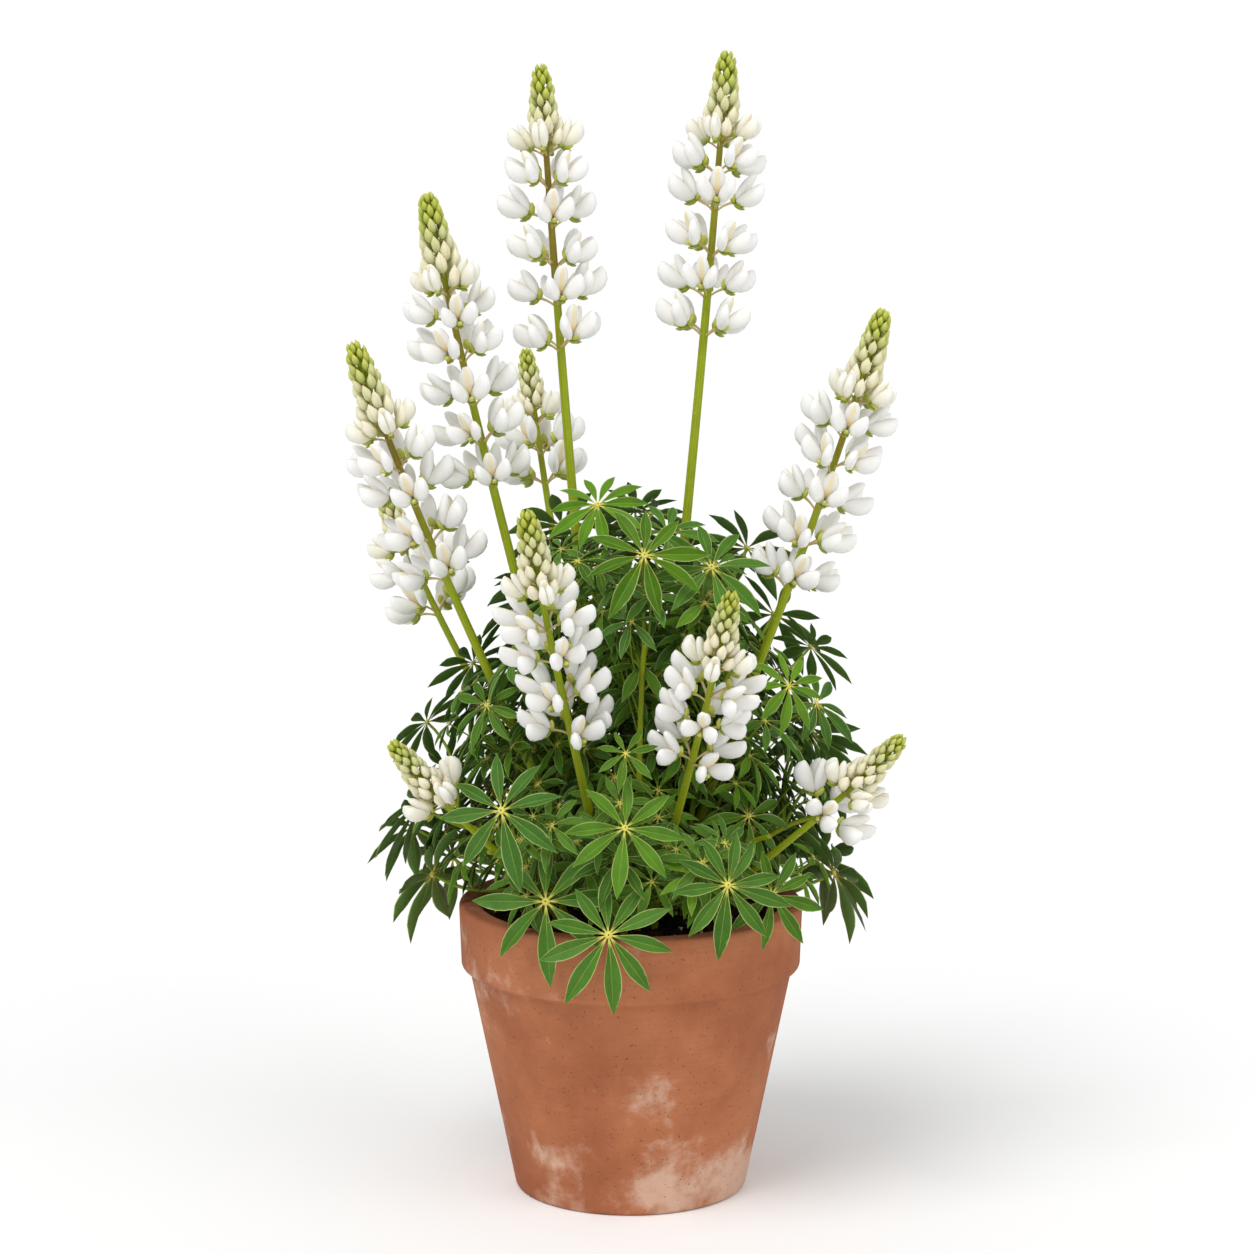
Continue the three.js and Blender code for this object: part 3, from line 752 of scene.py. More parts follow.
leafLook = {
    "dark": rgb(0.024, 0.080, 0.001),
    "fresh": rgb(0.125, 0.280, 0.008),
    "cool": rgb(0.062, 0.165, 0.026),
    "vein": rgb(0.24, 0.34, 0.045),
    "margin": rgb(0.46, 0.52, 0.17),
    "heart": rgb(0.70, 0.64, 0.13),
    "dot": rgb(0.16, 0.08, 0.02),
    "stalk": rgb(0.21, 0.30, 0.025),
    "under": rgb(0.11, 0.20, 0.05),
    "veins": 13.0,
    "slant": 0.11,
    "clouds": (110.0, 0.3),
    "grain": (700.0, 0.38, 0.58),
    "relief": 0.00012,
}


# Dark green blades with a fine midrib, cream margins, hardly visible side veins and a paler underside. The
# blade is yellow at its foot, and its midrib and margins stay so as they run out from there. The button at
# the heart of a leaf is yellow with a dark dot.
def leafMaterial():
    material, tree, place = startMaterial("lupineLeaf", Specular_IOR_Level=0.14)
    look, (u, v) = leafLook, uvOf(tree)
    lines = placeGroup(tree, veins, Across=u, Along=v, Count=look["veins"], Slant=look["slant"])
    tone, cool, stalk = (attributeOf(tree, name) for name in ("tone", "cool", "stalk"))
    colour = layered(tree, look["dark"], look, ("fresh", tone), ("cool", cool, 0.8))
    colour, fine = clouded(tree, place, colour, look), grained(tree, place, look)
    rays = calc(tree, "MAXIMUM", lines["Midrib"], lines["Margin"])
    rays = calc(tree, "MAXIMUM", times(tree, rays, ranged(tree, v, 0.4, 0.1)), ranged(tree, v, 0.14, 0.05))
    button = ranged(tree, stalk, 0.95, 0.99)
    colour = layered(
        tree,
        colour,
        look,
        ("vein", lines["Side Veins"], 0.07),
        ("under", ranged(tree, u, 1.0, 1.02), 0.75),
        ("vein", lines["Midrib"], 0.6),
        ("margin", lines["Margin"], 0.75),
        ("heart", rays, 0.9),
        ("stalk", ranged(tree, stalk, 0.4, 0.6)),
        ("heart", button),
        ("dot", button, ranged(tree, v, 0.90, 0.95)),
    )
    height = calc(tree, "SUBTRACT", fine["Height"], times(tree, lines["Side Veins"], 0.25))
    return finishMaterial(material, colour, fine, height, look)


# Stems and leaf stalks


def floweringTube(carrier):  # wider further under its tip, and brown from the cone down through the spike
    path, stem, wider = carrier["fine"], carrier["stem"], spike["widening"]
    back = backLengths(path)
    radii = [spike["tipRadius"], *wider["radius"], spike["baseRadius"]]
    high = np.clip(1.15 - back / (stem["flowers"] + 30), 0, 1) * carrier["browned"]
    high *= np.clip(back / stem["cone"] - 0.3, 0, 1)
    return tubePatch(path, np.interp(back, [0, *wider["at"], back[0]], radii), 12, high=high)


def leafyTube(carrier):
    path = carrier["fine"]
    share = backLengths(path) / backLengths(path)[0]
    return tubePatch(path, mix(leafyStems["tipRadius"], leafyStems["baseRadius"], share), 10, high=0 * share)


# Flowers, from the foot of the calyx: the first coordinate runs out from the stem, the second up along it

flower = {
    "calyx": (10, 5.4),
    "wing": {
        "foot": (0.5, 0.3),
        "rise": (50, 34),  # degrees, half open and open
        "length": 18.4,
        "depth": 4.8,
        "outer": 3.5,
        "inner": 2.2,
        "widest": 0.58,
        "blunt": 2.0,
    },
    "apart": (9, 31),  # degrees that each wing stands to its side, half open and open
    "banner": {
        "foot": (0.3, 0.6),
        "rise": (66, 58),
        "length": 17.4,
        "front": 2.4,
        "back": 3.9,
        "groove": 0.8,
        "thick": 3.7,
        "widest": 0.52,
        "blunt": 1.7,
    },
    "keel": {"line": ((0.2, -0.4), (3.6, -2.6), (7.6, 0.0)), "depth": 1.5, "thick": 1.7, "widest": 0.5},
    "upperLip": {"line": ((0.1, -1.2), (-1.9, 1.4), (-1.0, 5.2)), "depth": 1.5, "thick": 2.4, "widest": 0.45},
    "lowerLip": {"line": ((-0.4, -0.7), (1.8, -3.8), (6.0, -3.5)), "depth": 1.0, "thick": 2.1, "widest": 0.45},
    "stalk": ((-9.4, -6.0), (-5.6, -2.0), (-0.3, -0.3)),
    "stalkRadius": 0.62,
    "sizes": (0.7, 1),  # in bud and open
    "uneven": (0.94, 1.06),
    "jitter": {"along": 4, "round": 0.5, "nod": 0.3, "swing": 0.5},
}
halfOpen = 0.4  # how far a flower of the top whorl is open


# Shares s along an egg, closer together at its ends, and how full it is there: the square root of
# 1 - |2 s^a - 1|^b, with the power a that puts its widest place where it is wanted, b 2.2 before it and blunt after.
def eggShare(rows, widest, blunt):
    s = ((1 - np.cos(np.linspace(0, math.pi, rows))) / 2)[:, None]
    off = 2 * s ** (math.log(0.5) / math.log(widest)) - 1
    full = np.sqrt(np.maximum(1 - np.abs(off) ** np.where(off < 0, 2.2, blunt), 0))
    full[-1] = 0
    return s, full


# Points at shares s along a petal's straight line, which rises from its foot, and so far over it.
def overLine(petal, opened, s, over):
    rise = math.radians(mix(*petal["rise"], opened))
    out = petal["foot"][0] + petal["length"] * s * math.cos(rise) - over * math.sin(rise)
    return out, petal["foot"][1] + petal["length"] * s * math.sin(rise) + over * math.cos(rise)


# The two wings, an egg each. An egg hangs under a line that rises from the calyx: over the line it stands
# depth * full * (cos angle - 0.66), beside it full * sin angle times the outer or the inner thickness.
def wingsPatch(open_):
    w, opened = flower["wing"], (open_ - halfOpen) / (1 - halfOpen)
    s, full = eggShare(9, w["widest"], w["blunt"])
    angle = around(8)
    reach, up = overLine(w, opened, s, w["depth"] * full * (np.cos(angle) - 0.66))
    eggs = []
    for side in (-1, 1):
        beside = full * np.where(side * np.sin(angle) > 0, w["outer"], w["inner"]) * np.sin(angle)
        turn = side * math.radians(mix(*flower["apart"], opened))
        out = reach * math.cos(turn) - beside * math.sin(turn)
        points = columns(out, reach * math.sin(turn) + beside * math.cos(turn), up)[:, ::-1]
        eggs.append(gridPatch(points, across=np.linspace(1, 0, 9) - 0.125, banner=0.0, young=1 - open_))
    return joined(eggs)


# The banner, an egg round its own rising line. In front it comes to a crease, behind it has a shallow groove:
# front or back * cos angle before or behind the line, thick * sin angle * (1 - 0.3 cos angle) to each side.
def bannerPatch(open_):
    b, opened = flower["banner"], (open_ - halfOpen) / (1 - halfOpen)
    s, full = eggShare(8, b["widest"], b["blunt"])
    angle = around(10)
    before = full * np.cos(angle) * np.where(np.cos(angle) > 0, b["front"], b["back"])
    before[:, 5] *= b["groove"]
    beside = full * b["thick"] * np.sin(angle) * (1 - 0.3 * np.cos(angle)) * mix(0.85, 1, open_)
    out, up = overLine(b, opened, s, -before)
    points = columns(out, beside, up)
    return gridPatch(points, across=np.linspace(0.5, 1.5, 11), banner=1.0, young=1 - open_)


# A small egg round a bent line, the keel between the wings or a calyx lip pressed against the flower:
# depth * full * cos angle over the line, thick * full * sin angle beside it.
def bentEgg(egg, **values):
    s, full = eggShare(6, egg["widest"], 2.0)
    start, pull, end = (vec(*p) for p in egg["line"])
    line = (1 - s) ** 2 * start + 2 * s * (1 - s) * pull + s**2 * end
    run = unit((1 - s) * (pull - start) + s * (end - pull))
    angle = around(6)
    over = egg["depth"] * full * np.cos(angle)
    out, up = line[:, :1] - run[:, 1:] * over, line[:, 1:] + run[:, :1] * over
    return gridPatch(columns(out, egg["thick"] * full * np.sin(angle), up)[:, ::-1], **values)


def stalkPatch():  # a flower's stalk, a quadratic curve that is thicker at both ends
    line = quadraticCurve(*(vec(p[0], 0, p[1]) for p in flower["stalk"]), 5)
    radii = flower["stalkRadius"] * vec(1.25, 1, 1, 1.05, 1.25, 1.7)
    return tubePatch(line, radii, 5, (0, 1, 0), warm=vec(1, 1, 1, 1, 0.8, 0.3))


def whorlsOf(stem):  # distances under the tip, in steps that grow to the last one
    below, whorls = stem["cone"] + spike["underCone"], []
    while below < stem["flowers"]:
        whorls.append(below)
        below += min(spike["lastStep"], spike["firstStep"] + spike["stepGrowth"] * (len(whorls) - 1))
    return np.array(whorls, float)


def staggered(rows, count):  # so many round a stem in each row, every other row turned half a step
    k, j = np.divmod(np.arange(rows * count), count)
    return k, (j + (k % 2) / 2) * 2 * math.pi / count


# Where the flowers stand, whorl by whorl, at the solids' own angles, with how far open and how large they are.
def flowersOf(carrier):
    whorls, jitter = whorlsOf(carrier["stem"]), flower["jitter"]
    k, turn = staggered(len(whorls), spike["whorl"])
    seeds = carrier["number"] * 40 + np.arange(len(k))
    drawn = [np.array([draw(int(seed), n) for seed in seeds]) for n in range(1, 6)]
    angle = turn + carrier["number"] + spread(jitter["round"], drawn[0])
    open_ = np.minimum(halfOpen + (1 - halfOpen) * k, 1)
    size = mix(*flower["sizes"], open_) * mix(*flower["uneven"], drawn[2])
    below = whorls[k] + spread(jitter["along"], drawn[1])
    return {"below": below, "angle": angle, "open": open_, "size": size, "drawn": drawn}


def axesOut(direction, angle):  # out from the stem, across, and along the stem, for each angle round it
    first = unit(vec(1, 0, 0) - direction * direction[:, :1])
    second = np.cross(direction, first)
    out = np.cos(angle)[:, None] * first + np.sin(angle)[:, None] * second
    return np.stack([out, np.cross(direction, out), direction], axis=1)


def turnedAxes(axes, i, j, angle):  # two of the three axes turned in their own plane
    turned = axes.copy()
    c, s = np.cos(angle)[..., None], np.sin(angle)[..., None]
    turned[:, i] = c * axes[:, i] + s * axes[:, j]
    turned[:, j] = c * axes[:, j] - s * axes[:, i]
    return turned


def flowerPatches(carrier):  # the petals of all its flowers, then their calyxes and stalks
    found = flowersOf(carrier)
    size, drawn = found["size"], found["drawn"]
    axes = axesOut(directionsBack(carrier["fine"], found["below"]), found["angle"])
    foot = vec(flower["calyx"][0], 0, flower["calyx"][1])
    origins = pointsBack(carrier["fine"], found["below"]) + np.einsum("k,nkc->nc", foot, axes) * size[:, None]
    tilted = turnedAxes(axes, 0, 2, spread(flower["jitter"]["nod"], drawn[3]))
    tilted = turnedAxes(tilted, 0, 1, spread(flower["jitter"]["swing"], drawn[4]))
    petals = []
    for opening in (halfOpen, 1.0):
        here = np.isclose(found["open"], opening)
        if here.any():
            whole = joined([wingsPatch(opening), bannerPatch(opening)])
            petals.append(copies(whole, origins[here], tilted[here], size[here]))
    parts = (("keel", 0.0), ("upperLip", 0.0), ("lowerLip", 1.0))
    calyx = joined([bentEgg(flower[name], warm=0.0, low=low) for name, low in parts])
    return joined(petals), joined([copies(calyx, origins, tilted, size), copies(stalkPatch(), origins, axes, size)])


# Buds: pointed and overlapping, in rings up the cone, each ring turned half a step

bud = {
    "ring": 5,
    "step": (2.9, 7.4),  # from ring to ring at the tip and at the foot
    "length": (5.5, 13.4),
    "width": (2.8, 6.9),
    "uneven": (0.92, 1.08),
    "jitter": {"along": 1.4, "round": 0.25, "lean": 0.14, "ripe": 0.25},
    "foot": 0.58,  # how far out its foot stands, as a share of the cone's radius
    "spread": 1.17,  # the cone's radius over that of its solid
    "back": (1.16, 0.62),  # its back reaches this share of the cone's radius at this share of its length
    "leanIn": (0.35, 3.5),  # at the tip, and how far down that fades
    "riper": (0.4, 460),  # how much riper a spike would be at the soil than one this tall
    "stalked": 0.25,  # how far down the cone buds show their stalks, as a share
    "stalkRadius": 0.55,
    "ripens": (0.24, 0.62),  # how far down the cone buds start to turn cream, and over how much of it
}


# A bud one unit long: an egg, widest below its middle, its point drawn out and bent inwards. Its radius is
# half of full, or of full * 1.75 (1 - s)^0.55 where that is less.
def budPatch():
    s, full = eggShare(8, 0.42, 2.0)
    points = ringsAt(0.5 * full * np.minimum(1, 1.75 * (1 - s) ** 0.55), around(7), s)
    points[..., 0] += 0.3 * s * (1 - s) - 0.1 * s**3
    return gridPatch(points)


# A bud's foot stands inside the cone, and the bud leans out until its back reaches the cone's side. At the very
# tip the buds lean in over each other. Lower down each is held by a stalk from the stem.
def budsOf(carrier):
    stem, path, jitter = carrier["stem"], carrier["fine"], bud["jitter"]
    scale = stem["cone"] / spike["fullCone"]
    below, rings = 1.0, []
    while below < stem["cone"] + 1:
        rings.append(below)
        below += mix(*bud["step"], min(below / stem["cone"], 1)) * scale
    k, turn = staggered(len(rings), bud["ring"])
    drawn = lambda seed: draws(len(k), seed)
    below = np.array(rings)[k] + spread(jitter["along"], drawn(31))
    share = np.clip(below / stem["cone"], 0, 1)
    length = mix(*bud["length"], share) * scale * mix(*bud["uneven"], drawn(34))
    width = mix(*bud["width"], share) * scale * mix(*bud["uneven"], drawn(35))
    angle = turn + carrier["number"] + spread(jitter["round"], drawn(32))
    upright = axesOut(directionsBack(path, below), angle)
    radius = coneRadius(stem, below) * bud["spread"]
    footOut, (out, along) = bud["foot"] * radius, bud["back"]
    lean = np.arcsin(np.clip((radius * out - 0.5 * width - footOut) / (along * length), 0, 0.75))
    lean = lean - bud["leanIn"][0] * np.exp(-below / bud["leanIn"][1])
    axes = turnedAxes(upright, 2, 0, lean + spread(jitter["lean"], drawn(33)))
    origins = pointsBack(path, below + length * 0.4) + upright[:, 0] * footOut[:, None]
    riper = bud["riper"][0] * (1 - stem["tip"][2] / bud["riper"][1])
    start, over = bud["ripens"]
    ripe = np.clip((share - start) / over + riper + spread(jitter["ripe"], drawn(36)), 0, 1)
    buds = copies(budPatch(), origins, axes, columns(width, width, length), ripe=ripe)
    stalk = tubePatch(vec(0, 0, 1) * vec(0, 0.5, 1)[:, None], 1, 4, warm=0.5)
    held = share > bud["stalked"]
    starts = pointsBack(path, below + length * 0.4 + 0.42 * footOut + 0.4)
    sizes = columns(bud["stalkRadius"], bud["stalkRadius"], footOut + 1.2)
    return buds, copies(stalk, starts[held], turnedAxes(upright, 2, 0, 1.1)[held], sizes[held])


# Leaves

blade = {
    "halfWidth": 0.117,
    "fold": 0.055,
    "thick": 0.02,
    "heartRadius": 2.3,
    "stalkRadius": 0.95,
    "fullSize": 41,  # a leaf of this radius has a heart and a stalk as thick as said
    "turned": 0.24,
    "rolled": 0.7,
    "shorter": (0.85, 1.04),
    "bowed": (0.6, 1.5),
}


# A leaflet one unit long: half as wide as halfWidth * sin(pi s^1.32)^1.12 at share s, folded up along its
# midrib by fold * (share across)^1.15, and drooping by droop * s squared. Its underside is one line of points
# under the midrib, thick * that same sine below it.
def leafletPatch(rows, across):
    s = (np.linspace(0, 1, rows) ** 0.86)[:, None]
    top = np.array(across, float)
    wide = np.maximum(np.sin(math.pi * s**1.32), 0) ** 1.12
    wide[0] = wide[-1] = 0
    side = blade["halfWidth"] * wide * np.append(top, 0)[None]
    rise = blade["fold"] * np.append(np.abs(top) ** 1.15, 0)[None] * np.minimum(wide * 1.4, 1)
    under = blade["thick"] * np.append(0 * top, 1)[None] * wide
    points = columns(s, side, rise - under - leaf["droop"] * s**2)
    return gridPatch(points, across=np.concatenate([(1 - top) / 2, [1.5, 2.0]]))


# The button where the leaflets meet: a flat dome, radius sin(pi s) at share s of its height.
def heartPatch():
    s = np.linspace(0, 1, 5)[:, None]
    return gridPatch(ringsAt(np.sin(math.pi * s), around(8), 0.5 * (1 - np.cos(math.pi * s)) - 0.55), stalk=1.0)


bigLeaflet = leafletPatch(9, [1, 0.55, 0.13, 0, -0.13, -0.55, -1])
smallLeaflet = leafletPatch(6, [1, 0, -1])
heart = heartPatch()


# A leaf: its leaflets round the hub, each turned, rolled, shortened and bowed a little, the button over them and
# the stalk from the nearest point of its stem.
def leafPatch(found, path, template, stalkSides):
    place, seed = found["place"], found["seed"]
    along, lengths = leafletsOf(place)
    drawn = lambda more: draws(len(lengths), seed + more)
    hub, facing = (np.repeat(place[name][None], len(lengths), axis=0) for name in ("hub", "facing"))
    axes = np.stack([along, np.cross(facing, along), facing], axis=1)
    axes = turnedAxes(axes, 0, 1, spread(blade["turned"], drawn(500)))
    axes = turnedAxes(axes, 1, 2, spread(blade["rolled"], drawn(600)))
    lengths = lengths * mix(*blade["shorter"], drawn(650))
    sizes = lengths[:, None] * columns(1, 1, mix(*blade["bowed"], drawn(700)))
    tone = np.clip(draw(seed, 41) + spread(0.3, drawn(800)), 0, 1)
    leaflets = copies(template, hub, axes, sizes, tone=tone, cool=draw(seed, 43) + 0 * tone)
    scale = place["size"] / blade["fullSize"]
    button = copies(heart, hub[:1], axes[:1], [blade["heartRadius"] * scale])
    root, middle, end = found["stalk"]["pulls"]
    nearest = path[np.argmin(np.linalg.norm(path - root, axis=1))]
    radii = blade["stalkRadius"] * scale * np.linspace(1.25, 0.95, 11)
    stalk = quadraticTube((nearest, middle, end - place["facing"] * 0.5), 10, radii, stalkSides, stalk=0.9)
    return joined([leaflets, button, stalk])


# Small leaves inside the mound: each faces outwards and up, and hangs on the nearest stem

innerLeaf = {
    "tried": 620,
    "attempts": 12,
    "size": (17, 29),
    "height": (0.1, 0.92),
    "shell": (0.12, 0.86),
    "lift": 14,
    "swing": 0.4,  # how far each further attempt is turned, at most
    "leaflets": 7,
    "airGap": -0.6,
    "beads": {"hub": 2.0, "tip": 1.0, "blade": 1.8},
}


def innerPlace(number, attempt):
    turn = number * goldenTurn * 1.7 + innerLeaf["swing"] * attempt * draw(number, attempt + 900)
    height = mix(*innerLeaf["height"], draw(number, attempt + 920))
    shell = mix(*innerLeaf["shell"], draw(number, attempt + 940) ** 0.7)
    outward, hub = moundPoint(turn, height, shell, innerLeaf["lift"])
    facing = unit(vec(outward[0], outward[1], 0.7) + 0.5 * vec(draw(number, 951) - 0.5, draw(number, 952) - 0.5, 0))
    size = mix(*innerLeaf["size"], draw(number, 953))
    return {"hub": hub, "facing": facing, "size": size, "leaflets": innerLeaf["leaflets"], "turn": draw(number, 954)}


def placeInnerLeaves(carriers):
    allRoots, owners = rootsOf(carriers)
    placed, n = 0, innerLeaf["leaflets"]
    radii = np.repeat([innerLeaf["beads"][name] for name in ("hub", "tip", "blade")], (1, n, n))
    for number in range(innerLeaf["tried"]):
        for attempt in range(innerLeaf["attempts"]):
            place = innerPlace(number, attempt)
            stalk = stalkOf(place, allRoots, owners)
            points = np.vstack([place["hub"][None], leafletPoints(place, 0.95), leafletPoints(place, 0.55)])
            if isClear((points, radii, radii < 0), -1, room, innerLeaf["airGap"]):
                addRoom(room, points, radii, stalk["owner"])
                carriers[stalk["owner"]]["inner"].append({"place": place, "stalk": stalk, "seed": number + 1000})
                placed += 1
                break
    print("inner leaves:", placed)


# Soil and pot

soilLook = {
    "lumps": 420,
    "lumpHeight": (0.5, 2.2),
    "lumpRadius": (2.0, 7.0),
    "highest": 3.2,
    "hollows": 0.3,  # the share of lumps that are hollows instead
    "hollowDepth": 0.7,
    "crumbs": 900,
    "crumbSize": (0.6, 2.6),
    "crumbSides": (0.7, 1.2),
    "perlite": 0.06,  # the share of crumbs that are pale
    "deep": rgb(0.012, 0.008, 0.005),
    "raised": rgb(0.05, 0.032, 0.02),
    "fibre": rgb(0.14, 0.085, 0.045),
    "pale": rgb(0.55, 0.53, 0.48),
    "clouds": (45.0, 0.35),
    "grain": (420.0, 0.85, 1.0),
    "relief": 0.0012,
}


def innerRadius(z):  # of the pot, straight from its floor to its rim
    bandFoot = pot["height"] - pot["rimHeight"]
    lower = mix(pot["baseRadius"], pot["rimRadius"] - pot["rimStep"], pot["floor"] / bandFoot) - pot["wall"]
    upper = pot["rimRadius"] - pot["rimStep"] - pot["wall"]
    return mix(lower, upper, (z - pot["floor"]) / (pot["height"] - 3 - pot["floor"]))


def scattered(count, edge, a, b):  # places inside a circle, evenly over its area
    radius, turn = edge * np.sqrt(draws(count, a)), 2 * math.pi * draws(count, b)
    return radius * np.cos(turn), radius * np.sin(turn), turn


# The soil's height: level + crown * (1 - share^2)^1.3 at a share of the way out, and a few hundred round lumps,
# height * exp(-(distance / width)^2) each, that fade towards the edge.
def soilHeight(x, y):
    edge = innerRadius(soil["level"])
    share = np.minimum(np.hypot(x, y) / edge, 1)
    n = soilLook["lumps"]
    lumpX, lumpY, _ = scattered(n, edge, 61, 62)
    width = mix(*soilLook["lumpRadius"], draws(n, 63) ** 2)
    way = np.where(draws(n, 65) < soilLook["hollows"], -soilLook["hollowDepth"], 1)
    height = mix(*soilLook["lumpHeight"], draws(n, 64)) * way
    gap = (x[..., None] - lumpX) ** 2 + (y[..., None] - lumpY) ** 2
    lumps = (height * np.exp(-gap / width**2)).sum(axis=-1)
    lumps = np.minimum(lumps, soilLook["highest"]) * (1 - share**8)
    return soil["level"] + soil["crown"] * (1 - share**2) ** 1.3 + lumps


# The soil: rings up the inside of the pot, then rings inwards over its top, and crumbs strewn on it.
def soilPatch():
    foot, edge = pot["floor"] + soil["gap"], innerRadius(soil["level"])
    turn, inward = around(128), np.linspace(1, 0, 56)[:, None]
    x, y = edge * inward * np.cos(turn), edge * inward * np.sin(turn)
    low = innerRadius(foot)
    rings = [(0, foot), (low * 0.5, foot), (low, foot), (mix(low, edge, 0.5), mix(foot, soil["level"], 0.5))]
    radius, z = (np.array(column, float)[:, None] for column in zip(*rings))
    ground = gridPatch(np.concatenate([ringsAt(radius, turn, z), columns(x, y, soilHeight(x, y))]))
    n = soilLook["crumbs"]
    x, y, turn = scattered(n, edge * 0.97, 71, 72)
    size = mix(*soilLook["crumbSize"], draws(n, 73) ** 3)
    origins = columns(x, y, soilHeight(x, y) + size * 0.25)
    tilt = unit(columns(draws(n, 74) - 0.5, draws(n, 75) - 0.5, 0.6))
    sides = [mix(*soilLook["crumbSides"], draws(n, seed)) for seed in (76, 77)]
    sizes = size[:, None] * columns(*sides, 0.8)
    pale = (draws(n, 78) < soilLook["perlite"]).astype(float)
    return joined([ground, copies(crumbPatch(), origins, axesOut(tilt, turn * 3), sizes, pale=pale)])


# A crumb one unit in radius: a ball with five sides, its radius times 1 + 0.22 sin(3 angle + 4 s).
def crumbPatch():
    s, angle = np.linspace(0, math.pi, 5)[:, None], around(5)
    return gridPatch(ringsAt(np.sin(s) * (1 + 0.22 * np.sin(3 * angle + 4 * s)), angle, -np.cos(s)))


# Dark compost, lighter where it is raised, with brown fibres and a few pale crumbs.
def soilMaterial():
    material, tree, place = startMaterial("pottingSoil", Specular_IOR_Level=0.2)
    look = soilLook
    fine = grained(tree, place, look)
    fibres = ranged(tree, noiseOf(tree, place, 260.0, 2.0), 0.66, 0.74)
    raised, pale = ranged(tree, fine["Height"], 0.35, 0.65), attributeOf(tree, "pale")
    colour = layered(tree, look["deep"], look, ("raised", raised), ("fibre", fibres, 0.5), ("pale", pale))
    colour = clouded(tree, place, colour, look)
    return finishMaterial(material, colour, fine, fine["Height"], look)


potLook = {
    "sides": 144,
    "rounds": (2.5, 1.2, 1.6, 2.6, 3.0, 2.5),  # the radius at each corner of its profile
    "sharp": math.radians(35),
    "clay": rgb(0.47, 0.175, 0.078),
    "deep": rgb(0.33, 0.105, 0.045),
    "bloom": rgb(0.66, 0.47, 0.36),
    "pore": rgb(0.16, 0.06, 0.03),
    "clouds": (90.0, 0.14),
    "grain": (600.0, 0.78, 0.95),
    "relief": 0.0004,
}


# A profile whose corners are rounded: each corner gives way to a curve that starts and ends its own radius away.
def roundedProfile(corners, radii, steps=5):
    points = [vec(*corners[0])]
    for before, corner, after, radius in zip(corners, corners[1:], corners[2:], radii):
        before, corner, after = vec(*before), vec(*corner), vec(*after)
        start = corner + unit(before - corner) * radius
        end = corner + unit(after - corner) * radius
        points += [*quadraticCurve(start, corner, end, steps)]
    return np.array([*points, vec(*corners[-1])])


def potPatch():  # the rounded profile, turned round the pot's axis
    bandFoot, bodyTop = pot["height"] - pot["rimHeight"], pot["rimRadius"] - pot["rimStep"]
    corners = [
        (0, 0),
        (pot["baseRadius"], 0),
        (bodyTop - 0.4, bandFoot - 1.5),
        (pot["rimRadius"] - 1.2, bandFoot),
        (pot["rimRadius"], pot["height"]),
        (bodyTop - pot["wall"], pot["height"]),
        (innerRadius(pot["floor"]), pot["floor"]),
        (0, pot["floor"]),
    ]
    profile = densified(roundedProfile(corners, potLook["rounds"]), 4)
    return gridPatch(ringsAt(profile[:, :1], around(potLook["sides"]), profile[:, 1:]))


def densified(profile, step):  # points no further apart than a step, on the same line
    lengths = np.append(0, np.cumsum(np.linalg.norm(np.diff(profile, axis=0), axis=1)))
    even = np.arange(0, lengths[-1], step)
    kept = np.unique(np.append(lengths, even).round(4))
    kept = kept[np.append(True, np.diff(kept) > 0.25)]
    kept[-1] = lengths[-1]
    return np.stack([np.interp(kept, lengths, profile[:, i]) for i in (0, 1)], axis=1)


def cutDrains(piece):  # round holes through the floor
    angle = (np.arange(pot["drainCount"]) + 0.5) * 2 * math.pi / pot["drainCount"]
    drill = tubePatch(vec(0, 0, 1) * vec(-4, pot["floor"] + 6)[:, None], pot["drainRadius"], 24)
    origins = pot["drainCircle"] * columns(np.cos(angle), np.sin(angle), 0)
    drills = copies(drill, origins, np.repeat(np.eye(3)[None], len(angle), axis=0), np.ones(len(angle)))
    mesh = bpy.data.meshes.new("drills")
    faces = [[int(i) for i in face if i >= 0] for face in drills["faces"]]
    mesh.from_pydata(drills["points"] * metresPerMm, [], faces)
    cutter = linked("drills", mesh)
    cut = piece.modifiers.new("drains", "BOOLEAN")
    cut.operation, cut.object, cut.solver = "DIFFERENCE", cutter, "EXACT"
    bpy.context.view_layer.update()
    made = bpy.data.meshes.new_from_object(piece.evaluated_get(bpy.context.evaluated_depsgraph_get()))
    made.set_sharp_from_angle(angle=potLook["sharp"])
    piece.modifiers.clear()
    piece.data = made
    bpy.data.objects.remove(cutter)


# Unglazed clay: warm mottles, faint rings from the wheel, pores, and a pale bloom in clouds, most of it low down.
def clayMaterial():
    material, tree, place = startMaterial("terracotta", Specular_IOR_Level=0.25)
    look, z = potLook, addNode(tree, "SeparateXYZ", {0: place}).outputs[2]
    rings = noiseOf(tree, addNode(tree, "CombineXYZ", {2: z}).outputs[0], 420.0, 2.0)
    warmth = ranged(tree, noiseOf(tree, place, 14.0, 4.0), 0.3, 0.7)
    turned = ranged(tree, rings, 0.35, 0.65, 0.0, 0.16)
    cloud = noiseOf(tree, place, 22.0, 5.0, 0.65)
    bloom = calc(tree, "MULTIPLY_ADD", ranged(tree, z, 0.055, 0.0), 0.16, cloud)
    bloom = ranged(tree, bloom, 0.56, 0.74, 0.0, 0.7)
    pores = ranged(tree, noiseOf(tree, place, 700.0, 1.0), 0.70, 0.76)
    layers = ("clay", warmth), ("deep", turned), ("bloom", bloom), ("pore", pores, 0.55)
    colour = layered(tree, look["deep"], look, *layers)
    colour, fine = clouded(tree, place, colour, look), grained(tree, place, look)
    height = calc(tree, "MULTIPLY_ADD", rings, 0.5, calc(tree, "SUBTRACT", fine["Height"], pores))
    return finishMaterial(material, colour, fine, height, look)


# Building the pieces

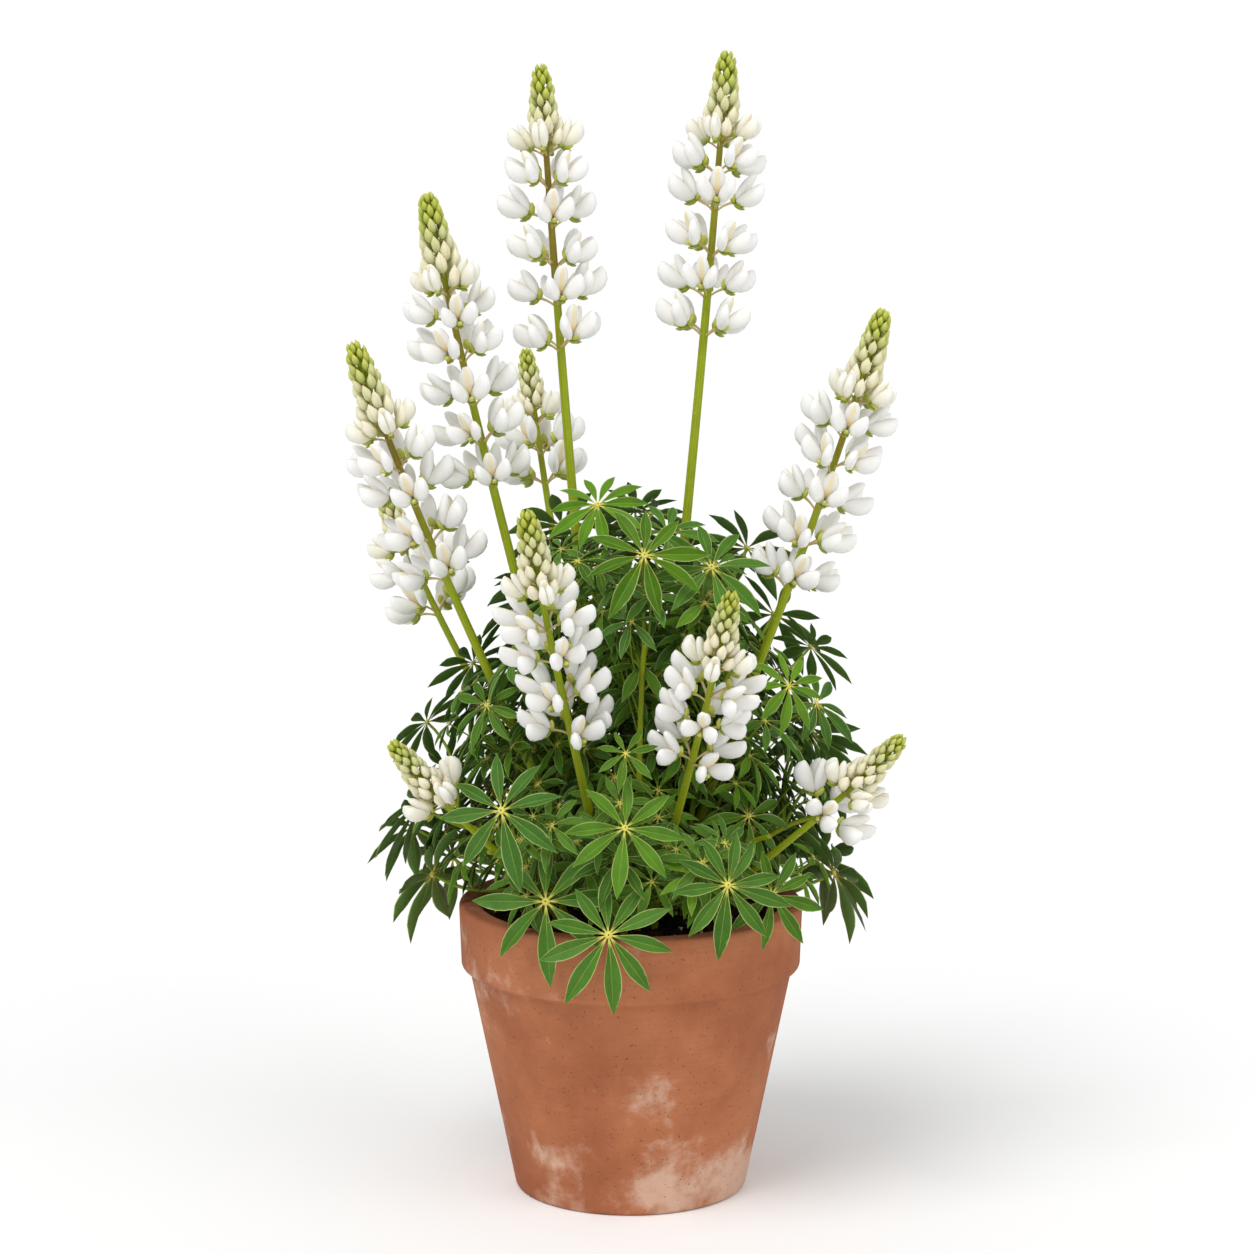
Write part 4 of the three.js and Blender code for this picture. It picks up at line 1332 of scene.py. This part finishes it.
clay, earth = clayMaterial(), soilMaterial()
petal, budSkin, green, bark, foliage = petalMaterial(), budMaterial(), greenMaterial(), stemMaterial(), leafMaterial()

cutDrains(makePiece("pot_body", potPatch(), clay, "clay_pot"))
makePiece("soil_surface", soilPatch(), earth, "soil")
print("pot and soil made")

everyStem = flowering + leafy
placeInnerLeaves(everyStem)


def buildLeaves(carrier, name, node):
    big = [leafPatch(found, carrier["fine"], bigLeaflet, 6) for found in carrier["leaves"]]
    small = [leafPatch(found, carrier["fine"], smallLeaflet, 4) for found in carrier["inner"]]
    if big or small:
        makePiece(name + "_leaves", joined(big + small), foliage, node)


for i, carrier in enumerate(flowering):
    node = f"flower_stem_{i + 1:02d}"
    petals, greens = flowerPatches(carrier)
    buds, budStalks = budsOf(carrier)
    makePiece(node + "_stalk", floweringTube(carrier), bark, node)
    makePiece(node + "_petals", petals, petal, node)
    makePiece(node + "_calyxes", joined([greens, budStalks]), green, node)
    makePiece(node + "_buds", buds, budSkin, node)
    buildLeaves(carrier, node, node)
print("flowering stems made")

for i, carrier in enumerate(leafy):
    node = f"leafy_stem_{i + 1:02d}"
    makePiece(node + "_stalk", leafyTube(carrier), bark, node)
    buildLeaves(carrier, node, node)
print("leafy stems made")


# Floor, light and camera

studio = {
    "elevation": 9,
    "lens": 100,
    "sensor": 36,
    "fill": 0.91,  # the share of the picture's height that the plant takes up
    "floorHalf": 30.0,
    "floor": rgb(0.93, 0.93, 0.92),
    "around": 0.6,
    "suns": {  # azimuth round from the camera, elevation, strength, softness
        "key": (-38, 56, 1.55, 34),
        "fill": (48, 34, 0.7, 50),
    },
    "clouds": (3.0, 0.015),
    "grain": (220.0, 0.8, 0.9),
    "relief": 0.00005,
}


def floorMaterial():
    material, tree, place = startMaterial("paleFloor", Specular_IOR_Level=0.2)
    colour, fine = clouded(tree, place, studio["floor"], studio), grained(tree, place, studio)
    return finishMaterial(material, colour, fine, fine["Height"], studio)


def makeFloor():
    half = studio["floorHalf"]
    mesh = bpy.data.meshes.new("floor")
    mesh.from_pydata([(-half, -half, 0), (half, -half, 0), (half, half, 0), (-half, half, 0)], [], [(0, 1, 2, 3)])
    mesh.materials.append(floorMaterial())
    linked("floor", mesh)


def aimed(name, data, place, target):
    thing = linked(name, data)
    thing.location = place
    thing.rotation_euler = (Vector(target) - Vector(place)).to_track_quat("-Z", "Y").to_euler()
    return thing


def makeSuns():
    for name, (azimuth, elevation, strength, softness) in studio["suns"].items():
        light = bpy.data.lights.new(name, "SUN")
        light.energy, light.angle = strength, math.radians(softness)
        turn, raised = math.radians(azimuth), math.radians(elevation)
        place = 3 * Vector((math.sin(turn) * math.cos(raised), -math.cos(turn) * math.cos(raised), math.sin(raised)))
        aimed(name, light, place, (0, 0, 0))


def makeSky():  # white where it is seen, softer where it lights
    world = bpy.data.worlds.new("studioSky")
    world.use_nodes = True
    tree = world.node_tree
    seen = addNode(tree, "Background", {"Color": rgb(1, 1, 1), "Strength": 1.0})
    light = tree.nodes["Background"]
    light.inputs["Color"].default_value = rgb(0.98, 0.99, 1.0)
    light.inputs["Strength"].default_value = studio["around"]
    both = addNode(tree, "MixShader", {0: addNode(tree, "LightPath").outputs["Is Camera Ray"]})
    tree.links.new(light.outputs[0], both.inputs[1])
    tree.links.new(seen.outputs[0], both.inputs[2])
    tree.links.new(both.outputs[0], tree.nodes["World Output"].inputs["Surface"])
    bpy.context.scene.world = world


def makeCamera(low, high):
    centre, height = (low + high) / 2, high.z - low.z
    lens = bpy.data.cameras.new("camera")
    lens.lens, lens.sensor_width = studio["lens"], studio["sensor"]
    away = height / studio["fill"] * studio["lens"] / studio["sensor"]
    raised = math.radians(studio["elevation"])
    place = centre + away * Vector((0, -math.cos(raised), math.sin(raised)))
    bpy.context.scene.camera = aimed("camera", lens, place, centre)


makeFloor()
makeSky()
makeCamera(*cadBox)
makeSuns()
bpy.context.scene.view_settings.view_transform = "Standard"
print("studio made")
